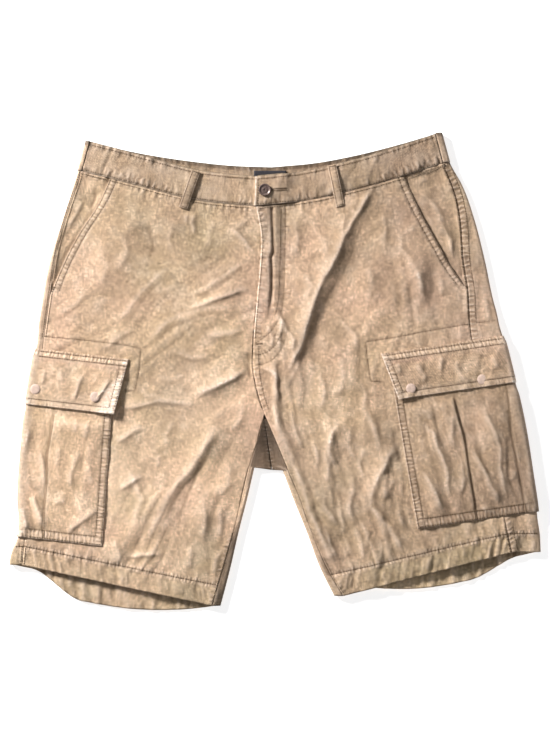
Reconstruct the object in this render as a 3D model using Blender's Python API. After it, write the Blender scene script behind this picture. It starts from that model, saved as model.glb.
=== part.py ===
"""Cargo shorts lying flat on their back, fly side up.

Blender 4.5. Sizes below are in millimetres and become metres in the meshes. X points to the wearer's left,
Y to the waist and Z up from the surface that the shorts lie on.

Each half of the shorts is one flattened tube of cloth. A place on it is (u, y): u is how far out it lies
from the middle plane, measured along the cloth, and y is how far up. Past the outline u keeps counting,
round the side fold and back along the underside, so a pocket that wraps round the leg is one plain
rectangle in u and y.
"""

import math
from collections import namedtuple

import bmesh
import bpy
import numpy as np

# ------------------------------------------------------------------ driving sizes
MM = 0.001
CLOTH = 1.2  # wall of one layer of cotton twill
GAP = 0.3  # between pieces that touch
FOLD = 3.2  # radius of the middle of the cloth where it turns under
BAND_WALL = 2.4  # two layers and their interfacing
BAND_HEIGHT = 39.0
BAND_LEAN = 10.5  # how far the band's top edge lies further in than its seam, at the sides
BAND_LIFT = 1.4  # the band's upper layer stands this much above the fronts
LOOP_WALL = 1.6
LOOP_WIDTH = 11.5
FLY_UNDERLAP = 14.0  # the right front runs this far under the left front's fly edge
BAND_UNDERLAP = 36.0
PUFF = 2.2  # how far the fronts bulge above their folded sides
PATCH_STACK = 2 * (CLOTH + GAP)  # a pocket and its flap under the leg
PATCH_PUFF = 1.5  # slack of a cargo pocket round the side
BAG_PUFF = 2.6  # more slack in the middle of its face
BAG_HEIGHT = 230.0
PLEAT_DEPTH = 1.6
PLEAT_INSET = 78.0  # from a pocket's front edge to its first pleat
PLEAT_WIDTH = 66.0
FLAP_OVERHANG = 9.0
FACE_WIDTH = {"right": 95.0, "left": 148.0}  # of a patch, to its last column before the side fold
BUTTON_RADIUS = 8.2
SNAP_RADIUS = 5.4
LABEL_WIDTH, LABEL_DEPTH, LABEL_WALL = 43.0, 18.0, 1.0
CENTRE_BACK = -4.0  # x of the seat seam
WEB_TOP = 3.6  # height of the seat seam where it turns up between the legs
WEB_GAP = 0.5  # between the backs along the seat seam
CROTCH_X = -14.0
SEAT_FOOT_Y = -127.0  # where the seat seam turns up

FOLD_STEPS = 6
FRONT_COLUMNS = 15
UNDER_COLUMNS = 10
WEB_COLUMNS = 2

# ------------------------------------------------------------------ the cut, as laid flat
Edge = namedtuple("Edge", "y u")
OUTLINE = {  # where each side folds under, from the band's top edge to the hem
    "right": [Edge(304, 251), Edge(266, 261), Edge(199, 282), Edge(150, 297), Edge(57, 314), Edge(-22, 328),
              Edge(-102, 337), Edge(-165, 341), Edge(-212, 340.5), Edge(-232, 348.5), Edge(-254, 351.8)],
    "left": [Edge(317, 220), Edge(278, 231), Edge(247, 248), Edge(199, 265), Edge(152, 277), Edge(88, 291),
             Edge(41, 306), Edge(-7, 318), Edge(-70, 332), Edge(-133, 342), Edge(-181, 349), Edge(-240, 352)],
}
SIDE_SEAM = {
    "right": [Edge(266, 255), Edge(215, 272), Edge(160, 288), Edge(103, 297), Edge(45, 305), Edge(-22, 312),
              Edge(-90, 320), Edge(-160, 326), Edge(-229, 331), Edge(-255, 334)],
    "left": [Edge(277, 222), Edge(230, 240), Edge(190, 246.5), Edge(150, 249), Edge(110, 255), Edge(60, 258),
             Edge(-20, 272), Edge(-90, 284), Edge(-160, 296), Edge(-212, 307), Edge(-238, 313)],
}
SLASH = {  # the slanted edge of each hip pocket, from the waist seam to the side seam
    "right": [Edge(256, 218), Edge(225, 232), Edge(180, 261), Edge(130, 286), Edge(103, 296.4)],
    "left": [Edge(259, 171), Edge(222, 187), Edge(168, 216), Edge(128, 240), Edge(110, 254.4)],
}
CENTRE_FRONT = [  # the fly's edge and then the crotch seam; u is x here
    Edge(219, -25), Edge(180, -18.5), Edge(140, -20), Edge(95, -24), Edge(38, -28.5), Edge(0, -28),
    Edge(-30, -22), Edge(-55, -14),
]
INSEAM = {
    "right": [Edge(-55, 14), Edge(-90, 23), Edge(-126, 34.5), Edge(-165, 44), Edge(-205, 53), Edge(-279, 74),
              Edge(-309, 83)],
    "left": [Edge(-55, -14), Edge(-90, 1), Edge(-130, 17.5), Edge(-165, 32), Edge(-205, 46), Edge(-265, 72),
             Edge(-295, 90)],
}
INNER_OUTLINE = {  # where each leg folds under between the legs
    "right": [Edge(-126, 27), Edge(-165, 36), Edge(-212, 48), Edge(-260, 59), Edge(-310, 72)],
    "left": [Edge(-130, 10), Edge(-165, 23), Edge(-212, 42), Edge(-260, 60), Edge(-296, 78)],
}
WAIST_SEAM = {  # y of the front waist seam at each u
    "right": [Edge(219, 25), Edge(226.5, 100), Edge(246, 180), Edge(256, 218), Edge(267, 261)],
    "left": [Edge(219, -25), Edge(226, 40), Edge(239, 100), Edge(259, 171), Edge(278.5, 231)],
}
BACK_WAIST_SEAM = {
    "right": [Edge(232, 4), Edge(234, 60), Edge(239, 110), Edge(251, 190), Edge(267, 261)],
    "left": [Edge(232, -4), Edge(238, 60), Edge(247, 110), Edge(264, 180), Edge(278.5, 231)],
}

# Across each level of a half, from the crotch side out to the side seam. rows is the number of rows of
# faces down to the next level, bow the share of the waist's curve that is left, and drop how far the back
# hangs below the front.
Level = namedtuple("Level", "name inner_y outer_y seam_y rows bow drop")
LEVELS = {
    "right": [
        Level("waist", 219, 256, 266, 3, 1.0, 0),
        Level("hip", 150, 180, 180, 3, 0.5, 0),
        Level("slash", 95, 103, 103, 2, 0.2, 0),
        Level("fly_end", 45, 50, 50, 4, 0.0, 0),
        Level("crotch", -55, -36, -36, 3, 0.0, 0),
        Level("web", -126, -100, -100, 3, 0.0, 4),
        Level("thigh", -205, -168, -168, 3, 0.0, 15),
        Level("hem_seam", -281, -229, -229, 1, 0.0, 27),
        Level("hem", -309, -255, -255, 0, 0.0, 30),
    ],
    "left": [
        Level("waist", 219, 259, 277, 3, 1.0, 0),
        Level("hip", 150, 186, 190, 3, 0.5, 0),
        Level("slash", 95, 110, 110, 2, 0.2, 0),
        Level("fly_end", 45, 60, 60, 4, 0.0, 0),
        Level("crotch", -55, -20, -20, 3, 0.0, 0),
        Level("web", -130, -86, -86, 3, 0.0, 3),
        Level("thigh", -205, -152, -152, 3, 0.0, 9),
        Level("hem_seam", -267, -212, -212, 1, 0.0, 16),
        Level("hem", -296, -238, -238, 0, 0.0, 18),
    ],
}

HANG_SHARE = 0.09  # of the way across, where the back starts to hang below the front
HANG_FULL = 0.34
HANG_WANES = 0.4
HANG_END = {"right": 1.0, "left": 0.82}

# Cargo pockets and flaps: corners of each rectangle in u and y. front is the edge that shows.
Patch = namedtuple("Patch", "front_top_u front_top_y front_foot_u front_foot_y width slope")
POCKET = {
    "right": Patch(211, 3, 228, -230, 214, 0.115),
    "left": Patch(150, 12, 188, -207, 228, 0.145),
}
FLAP = {
    "right": Patch(193, 17, 212, -56, 234, 0.115),
    "left": Patch(140, 24, 163, -36, 250, 0.145),
}
Place = namedtuple("Place", "name half u y")
SNAPS = [
    Place("snap_right_front", "right", 237, -31),
    Place("snap_right_side", "right", 316, -21),
    Place("snap_left_front", "left", 179, -19),
    Place("snap_left_side", "left", 273, -7),
]
Loop = namedtuple("Loop", "name half top_x top_y foot_x foot_y")
LOOPS = [
    Loop("belt_loop_right", "right", -104, 265, -121, 216),
    Loop("belt_loop_left", "left", 75, 273, 86.5, 218.5),
]

# The largest folds of the fronts. Each is a soft ridge from one place to another.
Ridge = namedtuple("Ridge", "x0 y0 x1 y1 width height")
RIDGES = [
    Ridge(116, 232, 18, 8, 15, 3.6),  # the long fold down the left front
    Ridge(-176, 8, -36, 116, 17, 2.0),
    Ridge(-112, -34, -34, 6, 12, 2.0),
    Ridge(-60, 40, -190, 150, 20, 1.2),
    Ridge(-62, -48, -128, -158, 15, 2.4),
    Ridge(-150, -150, -196, -236, 14, 2.0),
    Ridge(-84, -130, -104, -232, 13, 1.8),
    Ridge(30, -120, 78, -236, 13, 2.6),
    Ridge(84, -60, 60, -186, 16, 1.8),
    Ridge(128, -120, 150, -196, 13, 2.4),
    Ridge(178, 206, 196, 88, 14, 1.8),
    Ridge(64, 60, 118, -40, 15, 1.6),
    Ridge(26, 190, 40, 90, 13, 1.4),
]

KHAKI = (0.53, 0.37, 0.26, 1.0)
KHAKI_INSIDE = (0.51, 0.36, 0.255, 1.0)
LABEL_COLOUR = (0.02, 0.018, 0.022, 1.0)
HORN = (0.09, 0.055, 0.05, 1.0)
CAP_COLOUR = (0.66, 0.52, 0.42, 1.0)


# ------------------------------------------------------------------ curves and bumps
def along(edge, y):
    """u of an edge at y, on a smooth curve through its points."""
    points = sorted(edge)
    ys = np.array([p.y for p in points], float)
    us = np.array([p.u for p in points], float)
    return hermite(ys, us, y)


def height_of(edge, u):
    """y of an edge at u."""
    points = sorted(edge, key=lambda p: p.u)
    return hermite(np.array([p.u for p in points], float), np.array([p.y for p in points], float), u)


def hermite(xs, values, x):
    """A smooth curve through (xs, values), straight on past its ends."""
    x = np.asarray(x, float)
    slopes = np.gradient(values, xs)
    i = np.clip(np.searchsorted(xs, x) - 1, 0, len(xs) - 2)
    step = xs[i + 1] - xs[i]
    s = (x - xs[i]) / step
    inside = np.clip(s, 0, 1)
    cubic = (
        (1 + 2 * inside) * (1 - inside) ** 2 * values[i]
        + inside * (1 - inside) ** 2 * step * slopes[i]
        + inside**2 * (3 - 2 * inside) * values[i + 1]
        + inside**2 * (inside - 1) * step * slopes[i + 1]
    )
    past = np.where(s > 1, (s - 1) * slopes[i + 1], np.where(s < 0, s * slopes[i], 0.0)) * step
    return cubic + past


def ease(t):
    t = np.clip(t, 0, 1)
    return t * t * (3 - 2 * t)


def side_of(half):
    return -1.0 if half == "right" else 1.0


# ------------------------------------------------------------------ patches in (u, y)
def patch_point(patch, across, down):
    """u and y of a patch's point: across is mm from its front edge, down 0 at its top and 1 at its foot."""
    u = patch.front_top_u + (patch.front_foot_u - patch.front_top_u) * down + across
    y = patch.front_top_y + (patch.front_foot_y - patch.front_top_y) * down + patch.slope * across
    return u, y


def patch_zone(half, u, y):
    """1 where the cargo pocket and flap lie, falling to 0 a little way round them."""
    bag, flap = POCKET[half], FLAP[half]
    share = (y - bag.front_top_y) / (bag.front_foot_y - bag.front_top_y)
    front = bag.front_top_u + (bag.front_foot_u - bag.front_top_u) * share - FLAP_OVERHANG
    across = u - front
    top = flap.front_top_y + bag.slope * (across - FLAP_OVERHANG) + 8
    foot = bag.front_foot_y + bag.slope * (across - FLAP_OVERHANG) - 6
    beside = np.maximum(np.maximum(-across - 2, across - flap.width - 22), 0)
    beyond = np.maximum(np.maximum(y - top, foot - y), 0)
    return 1 - ease(np.hypot(beside, beyond) / 30)


# ------------------------------------------------------------------ the flattened tube
def fold_start(half, y):
    """u where the side fold begins."""
    outline = along(OUTLINE[half], y) - CLOTH / 2 - FOLD
    return outline - (CLOTH + GAP + PATCH_PUFF) * patch_zone(half, outline, y)


def turned(half, u, y):
    """u along the cloth of a place u out on the underside."""
    return 2 * fold_start(half, y) + math.pi * FOLD - u


def ridges(x, y):
    total = 0.0
    for r in RIDGES:
        run = math.hypot(r.x1 - r.x0, r.y1 - r.y0)
        ax, ay = (r.x1 - r.x0) / run, (r.y1 - r.y0) / run
        forward = (x - r.x0) * ax + (y - r.y0) * ay
        aside = (x - r.x0) * ay - (y - r.y0) * ax
        taper = ease(forward / (0.3 * run)) * ease((run - forward) / (0.3 * run))
        total = total + r.height * taper * np.exp(-((aside / r.width) ** 2))
    return total


def top_height(half, u, y):
    """Height of the middle of the upper layer of cloth."""
    x = side_of(half) * u
    zone = patch_zone(half, u, y)
    from_side = ease((fold_start(half, y) - u) / 70)
    in_leg = ease((-60 - y) / 90)
    from_inseam = 1 - in_leg * (1 - ease((u - along(INSEAM[half], y)) / 60))
    clear = 1 - patch_zone(half, u - 12, y)
    calm_waist = ease((height_of(WAIST_SEAM[half], u) - y - 14) / 30)
    near_hem = 1 - 0.6 * ease((-215 - y) / 50)
    fly_side = ease((np.abs(x - along(CENTRE_FRONT, y)) - 4) / 26)
    bulge = PUFF * from_side * from_inseam * (1 - zone)
    creases = ridges(x, y) * from_side * from_inseam * clear * calm_waist * near_hem * fly_side
    return CLOTH / 2 + 2 * FOLD + PATCH_STACK * zone + bulge + creases


def under_height(half, u, y):
    """Height of the middle of the lower layer of cloth, u out on the underside."""
    return CLOTH / 2 + PATCH_STACK * patch_zone(half, turned(half, u, y), y)


def cloth_point(half, u, y, out=0.0):
    """A point on the cloth's middle, moved out from it. u runs on round the side fold."""
    u, y, out = np.broadcast_arrays(np.asarray(u, float), np.asarray(y, float), np.asarray(out, float))
    start = fold_start(half, y)
    end = start + math.pi * FOLD
    high = top_height(half, np.minimum(u, start), y)
    low = under_height(half, np.minimum(start + end - u, start), y)
    angle = np.clip((u - start) / FOLD, 0, math.pi)
    middle, tall = (high + low) / 2, (high - low) / 2
    x = np.where(u <= start, u, np.where(u >= end, start + end - u, start + (FOLD + out) * np.sin(angle)))
    z = np.where(u <= start, high + out, np.where(u >= end, low - out, middle + (tall + out) * np.cos(angle)))
    return np.stack([side_of(half) * x, y, z], axis=-1)


def inner_point(half, angle, y):
    """A point of the fold between the legs: angle 0 at its top and pi at its foot."""
    start = along(INNER_OUTLINE[half], y) + CLOTH / 2 + FOLD
    high, low = top_height(half, start, y), under_height(half, start, y)
    x = start - FOLD * np.sin(angle)
    z = (high + low) / 2 + (high - low) / 2 * np.cos(angle)
    return np.stack([side_of(half) * x, y, z], axis=-1)


# ------------------------------------------------------------------ rows of a half
def rows_between(half, first, last):
    """The rows from one level to another, each a Level with its values worked out."""
    levels = LEVELS[half]
    names = [level.name for level in levels]
    found = []
    for i in range(names.index(first), names.index(last)):
        here, below = levels[i], levels[i + 1]
        for k in range(here.rows):
            share = k / here.rows
            values = [a + (b - a) * share for a, b in zip(here[1:4], below[1:4])]
            ends = [a + (b - a) * share for a, b in zip(here[5:], below[5:])]
            found.append(Level(here.name if k == 0 else "", *values, here.rows, *ends))
    found.append(levels[names.index(last)])
    return found


def inner_edge(half, y):
    """u of the front's inner edge: the fly's edge, the crotch seam and then the inseam."""
    crotch = LEVELS[half][4].inner_y
    return np.where(y >= crotch, side_of(half) * along(CENTRE_FRONT, y), along(INSEAM[half], y))


def front_waist(half):
    """u of the columns of a front and its facing along the waist seam."""
    u, _ = front_row(half, LEVELS[half][0], np.linspace(0, 1, FRONT_COLUMNS + 1))
    seam = float(along(SIDE_SEAM[half], LEVELS[half][0].seam_y)) - GAP / 2
    return np.concatenate([u, np.linspace(u[-1], seam, 4)[1:]])


def front_row(half, row, shares):
    """u and y across a front panel at one row."""
    in_u = float(inner_edge(half, row.inner_y))
    if row.outer_y >= LEVELS[half][2].outer_y:
        out_u = float(along(SLASH[half], row.outer_y))
    else:
        out_u = float(along(SIDE_SEAM[half], row.outer_y))
    u = in_u + (out_u - in_u) * shares
    chord = row.inner_y + (row.outer_y - row.inner_y) * shares
    return u, chord + row.bow * waist_bow(half, shares)


def waist_bow(half, shares):
    """How far a front's waist seam curves away from the straight line between its ends."""
    first = float(inner_edge(half, LEVELS[half][0].inner_y))
    last = float(along(SLASH[half], LEVELS[half][0].outer_y))
    ends = height_of(WAIST_SEAM[half], np.array([first, last]))
    chord = ends[0] + (ends[1] - ends[0]) * shares
    return height_of(WAIST_SEAM[half], first + (last - first) * shares) - chord


# ------------------------------------------------------------------ making the solids
def material(name, colour, roughness, metallic=0.0):
    made = bpy.data.materials.new(name)
    made.use_nodes = True
    shader = made.node_tree.nodes["Principled BSDF"]
    shader.inputs["Base Color"].default_value = colour
    shader.inputs["Roughness"].default_value = roughness
    shader.inputs["Metallic"].default_value = metallic
    return made


def link(name, mesh, finish):
    mesh.materials.append(finish)
    made = bpy.data.objects.new(name, mesh)
    bpy.context.scene.collection.objects.link(made)
    return made


def cloth(name, grids, wall, finish):
    """One piece of cloth, wall thick. Its middle is given as grids of points that share common edges."""
    work = bmesh.new()
    for grid in grids:
        corners = [[work.verts.new(metres(p)) for p in row] for row in grid]
        for upper, lower in zip(corners, corners[1:]):
            for k in range(len(upper) - 1):
                work.faces.new((upper[k], upper[k + 1], lower[k + 1], lower[k]))
    bmesh.ops.remove_doubles(work, verts=work.verts, dist=0.01 * MM)
    bmesh.ops.recalc_face_normals(work, faces=work.faces)
    mesh = bpy.data.meshes.new(name)
    work.to_mesh(mesh)
    work.free()
    mesh.shade_smooth()
    made = link(name, mesh, finish)
    solid = made.modifiers.new("wall", "SOLIDIFY")
    solid.thickness = wall * MM
    solid.offset = 0
    return made


def metres(point):
    return tuple(float(c) * MM for c in point)


def front(half, finish):
    """A front panel. The right one runs on under the left one's fly edge, which is raised over it."""
    rows = rows_between(half, "waist", "hem")
    shares = np.linspace(0, 1, FRONT_COLUMNS + 1)
    grid = []
    for i, row in enumerate(rows):
        u, y = front_row(half, row, shares)
        u[0] += GAP / 2
        u[-1] -= GAP / 2
        if i == 0:
            y = y - GAP / 2
        in_fly = row.inner_y > LEVELS[half][3].inner_y + 1
        if half == "right" and row.inner_y > LEVELS[half][2].inner_y - 1:
            u[0] -= FLY_UNDERLAP
        lift = (CLOTH + GAP) * ease((15 - u) / 20) if half == "left" and in_fly else 0.0
        grid.append(cloth_point(half, u, y) + np.stack([0 * u, 0 * u, lift + 0 * u], axis=-1))
    return cloth(f"front_{half}", [grid], CLOTH, finish)


def back(half, finish):
    """A back panel: from the side seam round the side fold, under the leg, and up between the legs."""
    body, leg = rows_between(half, "waist", "web"), rows_between(half, "web", "hem")
    angles = np.linspace(0, math.pi, FOLD_STEPS + 1)
    split = float(along(INNER_OUTLINE[half], LEVELS[half][5].inner_y)) + CLOTH / 2 + FOLD
    centre = side_of(half) * CENTRE_BACK + WEB_GAP / 2
    body_grid, leg_grid = [], []
    for row in body:
        body_grid.append(outer_part(half, row, angles, split, centre, row is body[0]))
    for row in leg:
        inner = float(along(INNER_OUTLINE[half], row.inner_y)) + CLOTH / 2 + FOLD
        outer = outer_part(half, row, angles, inner, None, False)
        turn = inner_point(half, angles[::-1], np.full(FOLD_STEPS + 1, row.inner_y))
        seam = float(along(INSEAM[half], row.inner_y)) - GAP / 2
        strip = cloth_point(half, np.array([seam]), np.array([row.inner_y]))
        leg_grid.append(np.concatenate([outer, turn[1:], strip]))
    return cloth(f"back_{half}", [body_grid, leg_grid, web(half, leg_grid[0], body_grid[-1])], CLOTH, finish)


def back_waist(half):
    """u and y of the back's columns along the waist seam, from the side seam to the seat seam."""
    y = LEVELS[half][0].seam_y
    seam = float(along(SIDE_SEAM[half], y)) + GAP / 2
    start = float(fold_start(half, y))
    inner = float(along(INNER_OUTLINE[half], LEVELS[half][5].inner_y)) + CLOTH / 2 + FOLD
    flat = np.concatenate([np.linspace(start, inner, UNDER_COLUMNS + 1)[1:],
                           np.linspace(inner, side_of(half) * CENTRE_BACK, WEB_COLUMNS + 1)[1:]])
    turn = start + FOLD * np.linspace(0, math.pi, FOLD_STEPS + 1)
    flat_y = height_of(BACK_WAIST_SEAM[half], flat)
    u = np.concatenate([np.linspace(seam, start, 3)[:-1], turn, turned(half, flat, flat_y)])
    return u, np.concatenate([np.full(len(turn) + 2, y), flat_y])


def outer_part(half, row, angles, inner, centre, at_waist):
    """A row of a back panel, from its side seam to inner on the underside, and on to centre if given."""
    seam = float(along(SIDE_SEAM[half], row.seam_y)) + GAP / 2
    y = row.seam_y - (GAP / 2 if at_waist else 0.0)
    start = float(fold_start(half, y))
    strip = np.linspace(seam, start, 3)[:-1]
    turn = start + FOLD * angles
    flat = np.linspace(start, inner, UNDER_COLUMNS + 1)[1:]
    if centre is not None:
        flat = np.concatenate([flat, np.linspace(inner, centre, WEB_COLUMNS + 1)[1:]])
    share = (start - flat) / (start - inner)
    inner_y, centre_y = back_rows_y(half, row) if centre is not None else (row.inner_y, row.inner_y)
    flat_y = y + (inner_y - y) * share - row.drop * hang(half, share)
    if centre is not None:
        past = (inner - flat) / (inner - centre)
        flat_y = np.where(share > 1, inner_y + (centre_y - inner_y) * past, flat_y)
    if at_waist:
        flat_y = height_of(BACK_WAIST_SEAM[half], flat) - GAP / 2
    u = np.concatenate([strip, turn, turned(half, flat, flat_y)])
    ys = np.concatenate([np.full(len(strip) + len(turn), y), flat_y])
    return cloth_point(half, u, ys)


def hang(half, share):
    """How far the back's hem hangs below the front's, share of the way from the side to the inner fold."""
    waning = np.clip((share - HANG_WANES) / (HANG_END[half] - HANG_WANES), 0, 1)
    return ease((share - HANG_SHARE) / (HANG_FULL - HANG_SHARE)) * (1 - waning**2)


def back_rows_y(half, row):
    """y of a row of the back at the inner fold and at the seat seam."""
    levels = LEVELS[half]
    waist = BACK_WAIST_SEAM[half][0].y
    share = (levels[0].inner_y - row.inner_y) / (levels[0].inner_y - levels[5].inner_y)
    return waist + (levels[5].inner_y - waist) * share, waist + (SEAT_FOOT_Y - waist) * share


def web(half, leg_row, body_row):
    """The part of a back panel that turns up between the legs, from the turn to the crotch."""
    turn = leg_row[-(FOLD_STEPS + 2):]
    rise = [row.inner_y for row in rows_between(half, "crotch", "web")][::-1][1:]
    rise[-1] -= 7.0
    inseam = [cloth_point(half, float(along(INSEAM[half], y)) - GAP / 2, y) for y in rise]
    edge = np.concatenate([turn, np.array(inseam)])
    foot = body_row[-1]
    middle, tall = (foot[2] + WEB_TOP) / 2, (WEB_TOP - foot[2]) / 2
    seat = [[foot[0], foot[1] - 2.4 * math.sin(a), middle - tall * math.cos(a)]
            for a in np.linspace(0, math.pi, FOLD_STEPS + 1)]
    top = edge[-1]
    for k in range(1, len(rise) + 2):
        share = k / (len(rise) + 1)
        end_x = CROTCH_X + side_of(half) * WEB_GAP / 2
        seat.append([foot[0] + (end_x - foot[0]) * share, foot[1] + (top[1] - foot[1]) * share,
                     WEB_TOP + (top[2] - WEB_TOP) * share])
    seat = np.array(seat)
    columns = [edge]
    for k in range(1, WEB_COLUMNS):
        share = k / WEB_COLUMNS
        column = edge + (seat - edge) * share
        column[0] = body_row[-1 - (WEB_COLUMNS - k)]
        columns.append(column)
    columns.append(seat)
    return np.stack(columns, axis=1)


def facing(half, finish):
    """The hip pocket's facing, which shows behind the slanted edge of the front."""
    slash_y = LEVELS[half][2].outer_y
    top_y = LEVELS[half][0].seam_y
    grid = []
    for down in np.linspace(0, 1, 9):
        seam_y = top_y + (slash_y + 2 - top_y) * down
        slash_row = LEVELS[half][0].outer_y + (slash_y + 2 - LEVELS[half][0].outer_y) * down
        inner_u = float(along(SLASH[half], slash_row)) - 11
        outer_u = float(along(SIDE_SEAM[half], seam_y)) - GAP / 2
        shares = np.linspace(0, 1, 5)
        u = inner_u + (outer_u - inner_u) * shares
        y = slash_row + (seam_y - slash_row) * shares
        if down == 0:
            y = height_of(WAIST_SEAM[half], u) - GAP / 2
        grid.append(cloth_point(half, u, y, -(CLOTH + GAP)))
    return cloth(f"pocket_facing_{half}", [grid], CLOTH, finish)


def band_point(half, u, y_seam, up, lift=0.0):
    """A point of the waistband. u and y_seam run along its seam and round the fold, and up is its height."""
    lean = BAND_LEAN / OUTLINE[half][1].u * up
    base = fold_start(half, y_seam)
    end = base + math.pi * FOLD
    high = top_height(half, np.minimum(u, base), y_seam) + BAND_LIFT
    low = BAND_WALL / 2
    angle = np.clip((u - base) / FOLD, 0, math.pi)
    over, under = u * (1 - lean), (base + end - u) * (1 - lean)
    turning = base - lean * u + FOLD * np.sin(angle)
    middle, tall = (high + low) / 2, (high - low) / 2
    x = np.where(u <= base, over, np.where(u >= end, under, turning))
    z = np.where(u <= base, high, np.where(u >= end, low, middle + tall * np.cos(angle)))
    return np.stack([side_of(half) * x, y_seam + BAND_HEIGHT * up, z + lift], axis=-1)


def band_front(half, finish):
    """The front half of the waistband on one side. The left one laps over the right one and buttons."""
    u = front_waist(half)
    if half == "right":
        under = u[0] - np.array([BAND_UNDERLAP, 0.6 * BAND_UNDERLAP, 0.25 * BAND_UNDERLAP, 0])
        u = u[1:]
        y = np.concatenate([height_of(WAIST_SEAM["left"], -under) + 1, height_of(WAIST_SEAM[half], u)])
        u, lift = np.concatenate([under, u]), 0.0
    else:
        u[0] -= 2
        y = height_of(WAIST_SEAM[half], u)
        lift = (BAND_WALL + GAP) * ease((34 - u) / 22)
    grid = [band_point(half, u, y + GAP / 2, up, lift) for up in np.linspace(0, 1, 4)]
    return cloth(f"waistband_{half}", [grid], BAND_WALL, finish)


def band_back(finish):
    """The back of the waistband, from one side seam under the back to the other."""
    ends = {}
    for half in ("right", "left"):
        u, y = back_waist(half)
        ends[half] = [band_point(half, u, y + GAP / 2, up) for up in np.linspace(0, 1, 4)]
    rows = []
    for a, b in zip(ends["right"], ends["left"]):
        a[-1] = b[-1] = (a[-1] + b[-1]) / 2
        rows.append(np.concatenate([a, b[::-1][1:]]))
    return cloth("waistband_back", [rows], BAND_WALL, finish)


def patch_rows(half, patch, acrosses, downs, out):
    """The grid of a patch, with columns where the side fold turns."""
    face = acrosses[acrosses < FACE_WIDTH[half]]
    grid = []
    for down in downs:
        u0, y0 = patch_point(patch, 0.0, down)
        u_fold = float(fold_start(half, y0))
        for _ in range(3):
            u_fold = float(fold_start(half, y0 + patch.slope * (u_fold - u0)))
        turn = u_fold - u0 + FOLD * np.linspace(0, math.pi, FOLD_STEPS + 1)
        rest = np.linspace(turn[-1], patch.width, 5)[1:]
        across = np.concatenate([face, turn, rest])
        u, y = patch_point(patch, across, down)
        grid.append((u, y, across))
    return [cloth_point(half, u, y, out(across, np.full(len(u), down), u, y))
            for (u, y, across), down in zip(grid, downs)]


def cargo_pocket(half, finish):
    """A cargo pocket with an inverted pleat, slack over the leg."""
    bag = POCKET[half]
    flap = FLAP[half]
    flap_foot = (flap.front_foot_y - bag.front_top_y) / (bag.front_foot_y - bag.front_top_y)
    downs = np.concatenate([np.linspace(0, flap_foot + 0.02, 3), np.linspace(flap_foot + 0.09, 1, 8)])
    pleats = [PLEAT_INSET, PLEAT_INSET + PLEAT_WIDTH]
    acrosses = np.array([0, 12, 30, 52, 68, 76.5, 79.5, 92, 105, 120, 134, 142.5, 145.5])

    def out(across, down, u, y):
        start = fold_start(half, y)
        below = ease((down - flap_foot - 0.02) / 0.07)
        edge = ease(np.minimum(across, (1 - down) * BAG_HEIGHT) / 34)
        side = ease((start - u) / 50)
        slack = PATCH_PUFF * ease((u - start + 14) / 14) + BAG_PUFF * edge * side
        pleat = PLEAT_DEPTH * ease((across - pleats[0] + 2) / 4) * ease((pleats[1] - across + 2) / 4)
        pleat = pleat * side * ease((1 - down) / 0.08)
        return CLOTH + GAP + below * np.maximum(slack - pleat, 0)

    return cloth(f"cargo_pocket_{half}", [patch_rows(half, bag, acrosses, downs, out)], CLOTH, finish)


def pocket_flap(half, finish):
    """A flap, sewn down along its top and lying over the pocket's mouth."""
    flap = FLAP[half]
    downs = np.array([0, 0.16, 0.45, 0.75, 1.0])
    acrosses = np.array([0, 14, 34, 56, 74, 92, 110, 128, 144])

    def out(across, down, u, y):
        corner = ease(1 - across / 40) * ease((down - 0.2) / 0.8)
        return CLOTH + GAP + (CLOTH + GAP) * ease(down / 0.16) + 3.2 * corner

    return cloth(f"flap_{half}", [patch_rows(half, flap, acrosses, downs, out)], CLOTH, finish)


def belt_loop(loop, finish):
    """A belt loop, tacked to the band's top edge and below the waist seam, slack between."""
    run = math.hypot(loop.foot_x - loop.top_x, loop.foot_y - loop.top_y)
    ax, ay = (loop.foot_x - loop.top_x) / run, (loop.foot_y - loop.top_y) / run
    over_band, over_front = BAND_LIFT + BAND_WALL / 2, CLOTH / 2
    grid = []
    for down in np.linspace(0, 1, 8):
        x, y = loop.top_x + ax * run * down, loop.top_y + ay * run * down
        u = side_of(loop.half) * x
        seam = float(height_of(WAIST_SEAM[loop.half], u))
        rest = over_front + (over_band - over_front) * float(ease((y - seam + 7) / 6))
        z = float(top_height(loop.half, u, min(y, seam))) + rest + GAP + LOOP_WALL / 2
        z += 1.5 * math.sin(math.pi * min(down / 0.8, 1.0)) ** 2
        grid.append([(x - ay * LOOP_WIDTH * s, y + ax * LOOP_WIDTH * s, z) for s in (-0.5, 0.0, 0.5)])
    return cloth(loop.name, [grid], LOOP_WALL, finish)


def turned_solid(name, profile, steps, place, finish):
    """A round piece. profile is (radius, height) from the middle of its top, out and back to the middle."""
    work = bmesh.new()
    rings = []
    for radius, height in profile[1:-1]:
        rings.append([work.verts.new(metres((radius * math.cos(a), radius * math.sin(a), height)))
                      for a in np.linspace(0, 2 * math.pi, steps, endpoint=False)])
    top = work.verts.new(metres((0, 0, profile[0][1])))
    foot = work.verts.new(metres((0, 0, profile[-1][1])))
    for upper, lower in zip(rings, rings[1:]):
        for k in range(steps):
            work.faces.new((upper[k], lower[k], lower[(k + 1) % steps], upper[(k + 1) % steps]))
    for k in range(steps):
        work.faces.new((top, rings[0][k], rings[0][(k + 1) % steps]))
        work.faces.new((foot, rings[-1][(k + 1) % steps], rings[-1][k]))
    mesh = bpy.data.meshes.new(name)
    work.to_mesh(mesh)
    work.free()
    mesh.shade_smooth()
    mesh.set_sharp_from_angle(angle=math.radians(40))
    made = link(name, mesh, finish)
    made.location = metres(place)
    return made


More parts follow.
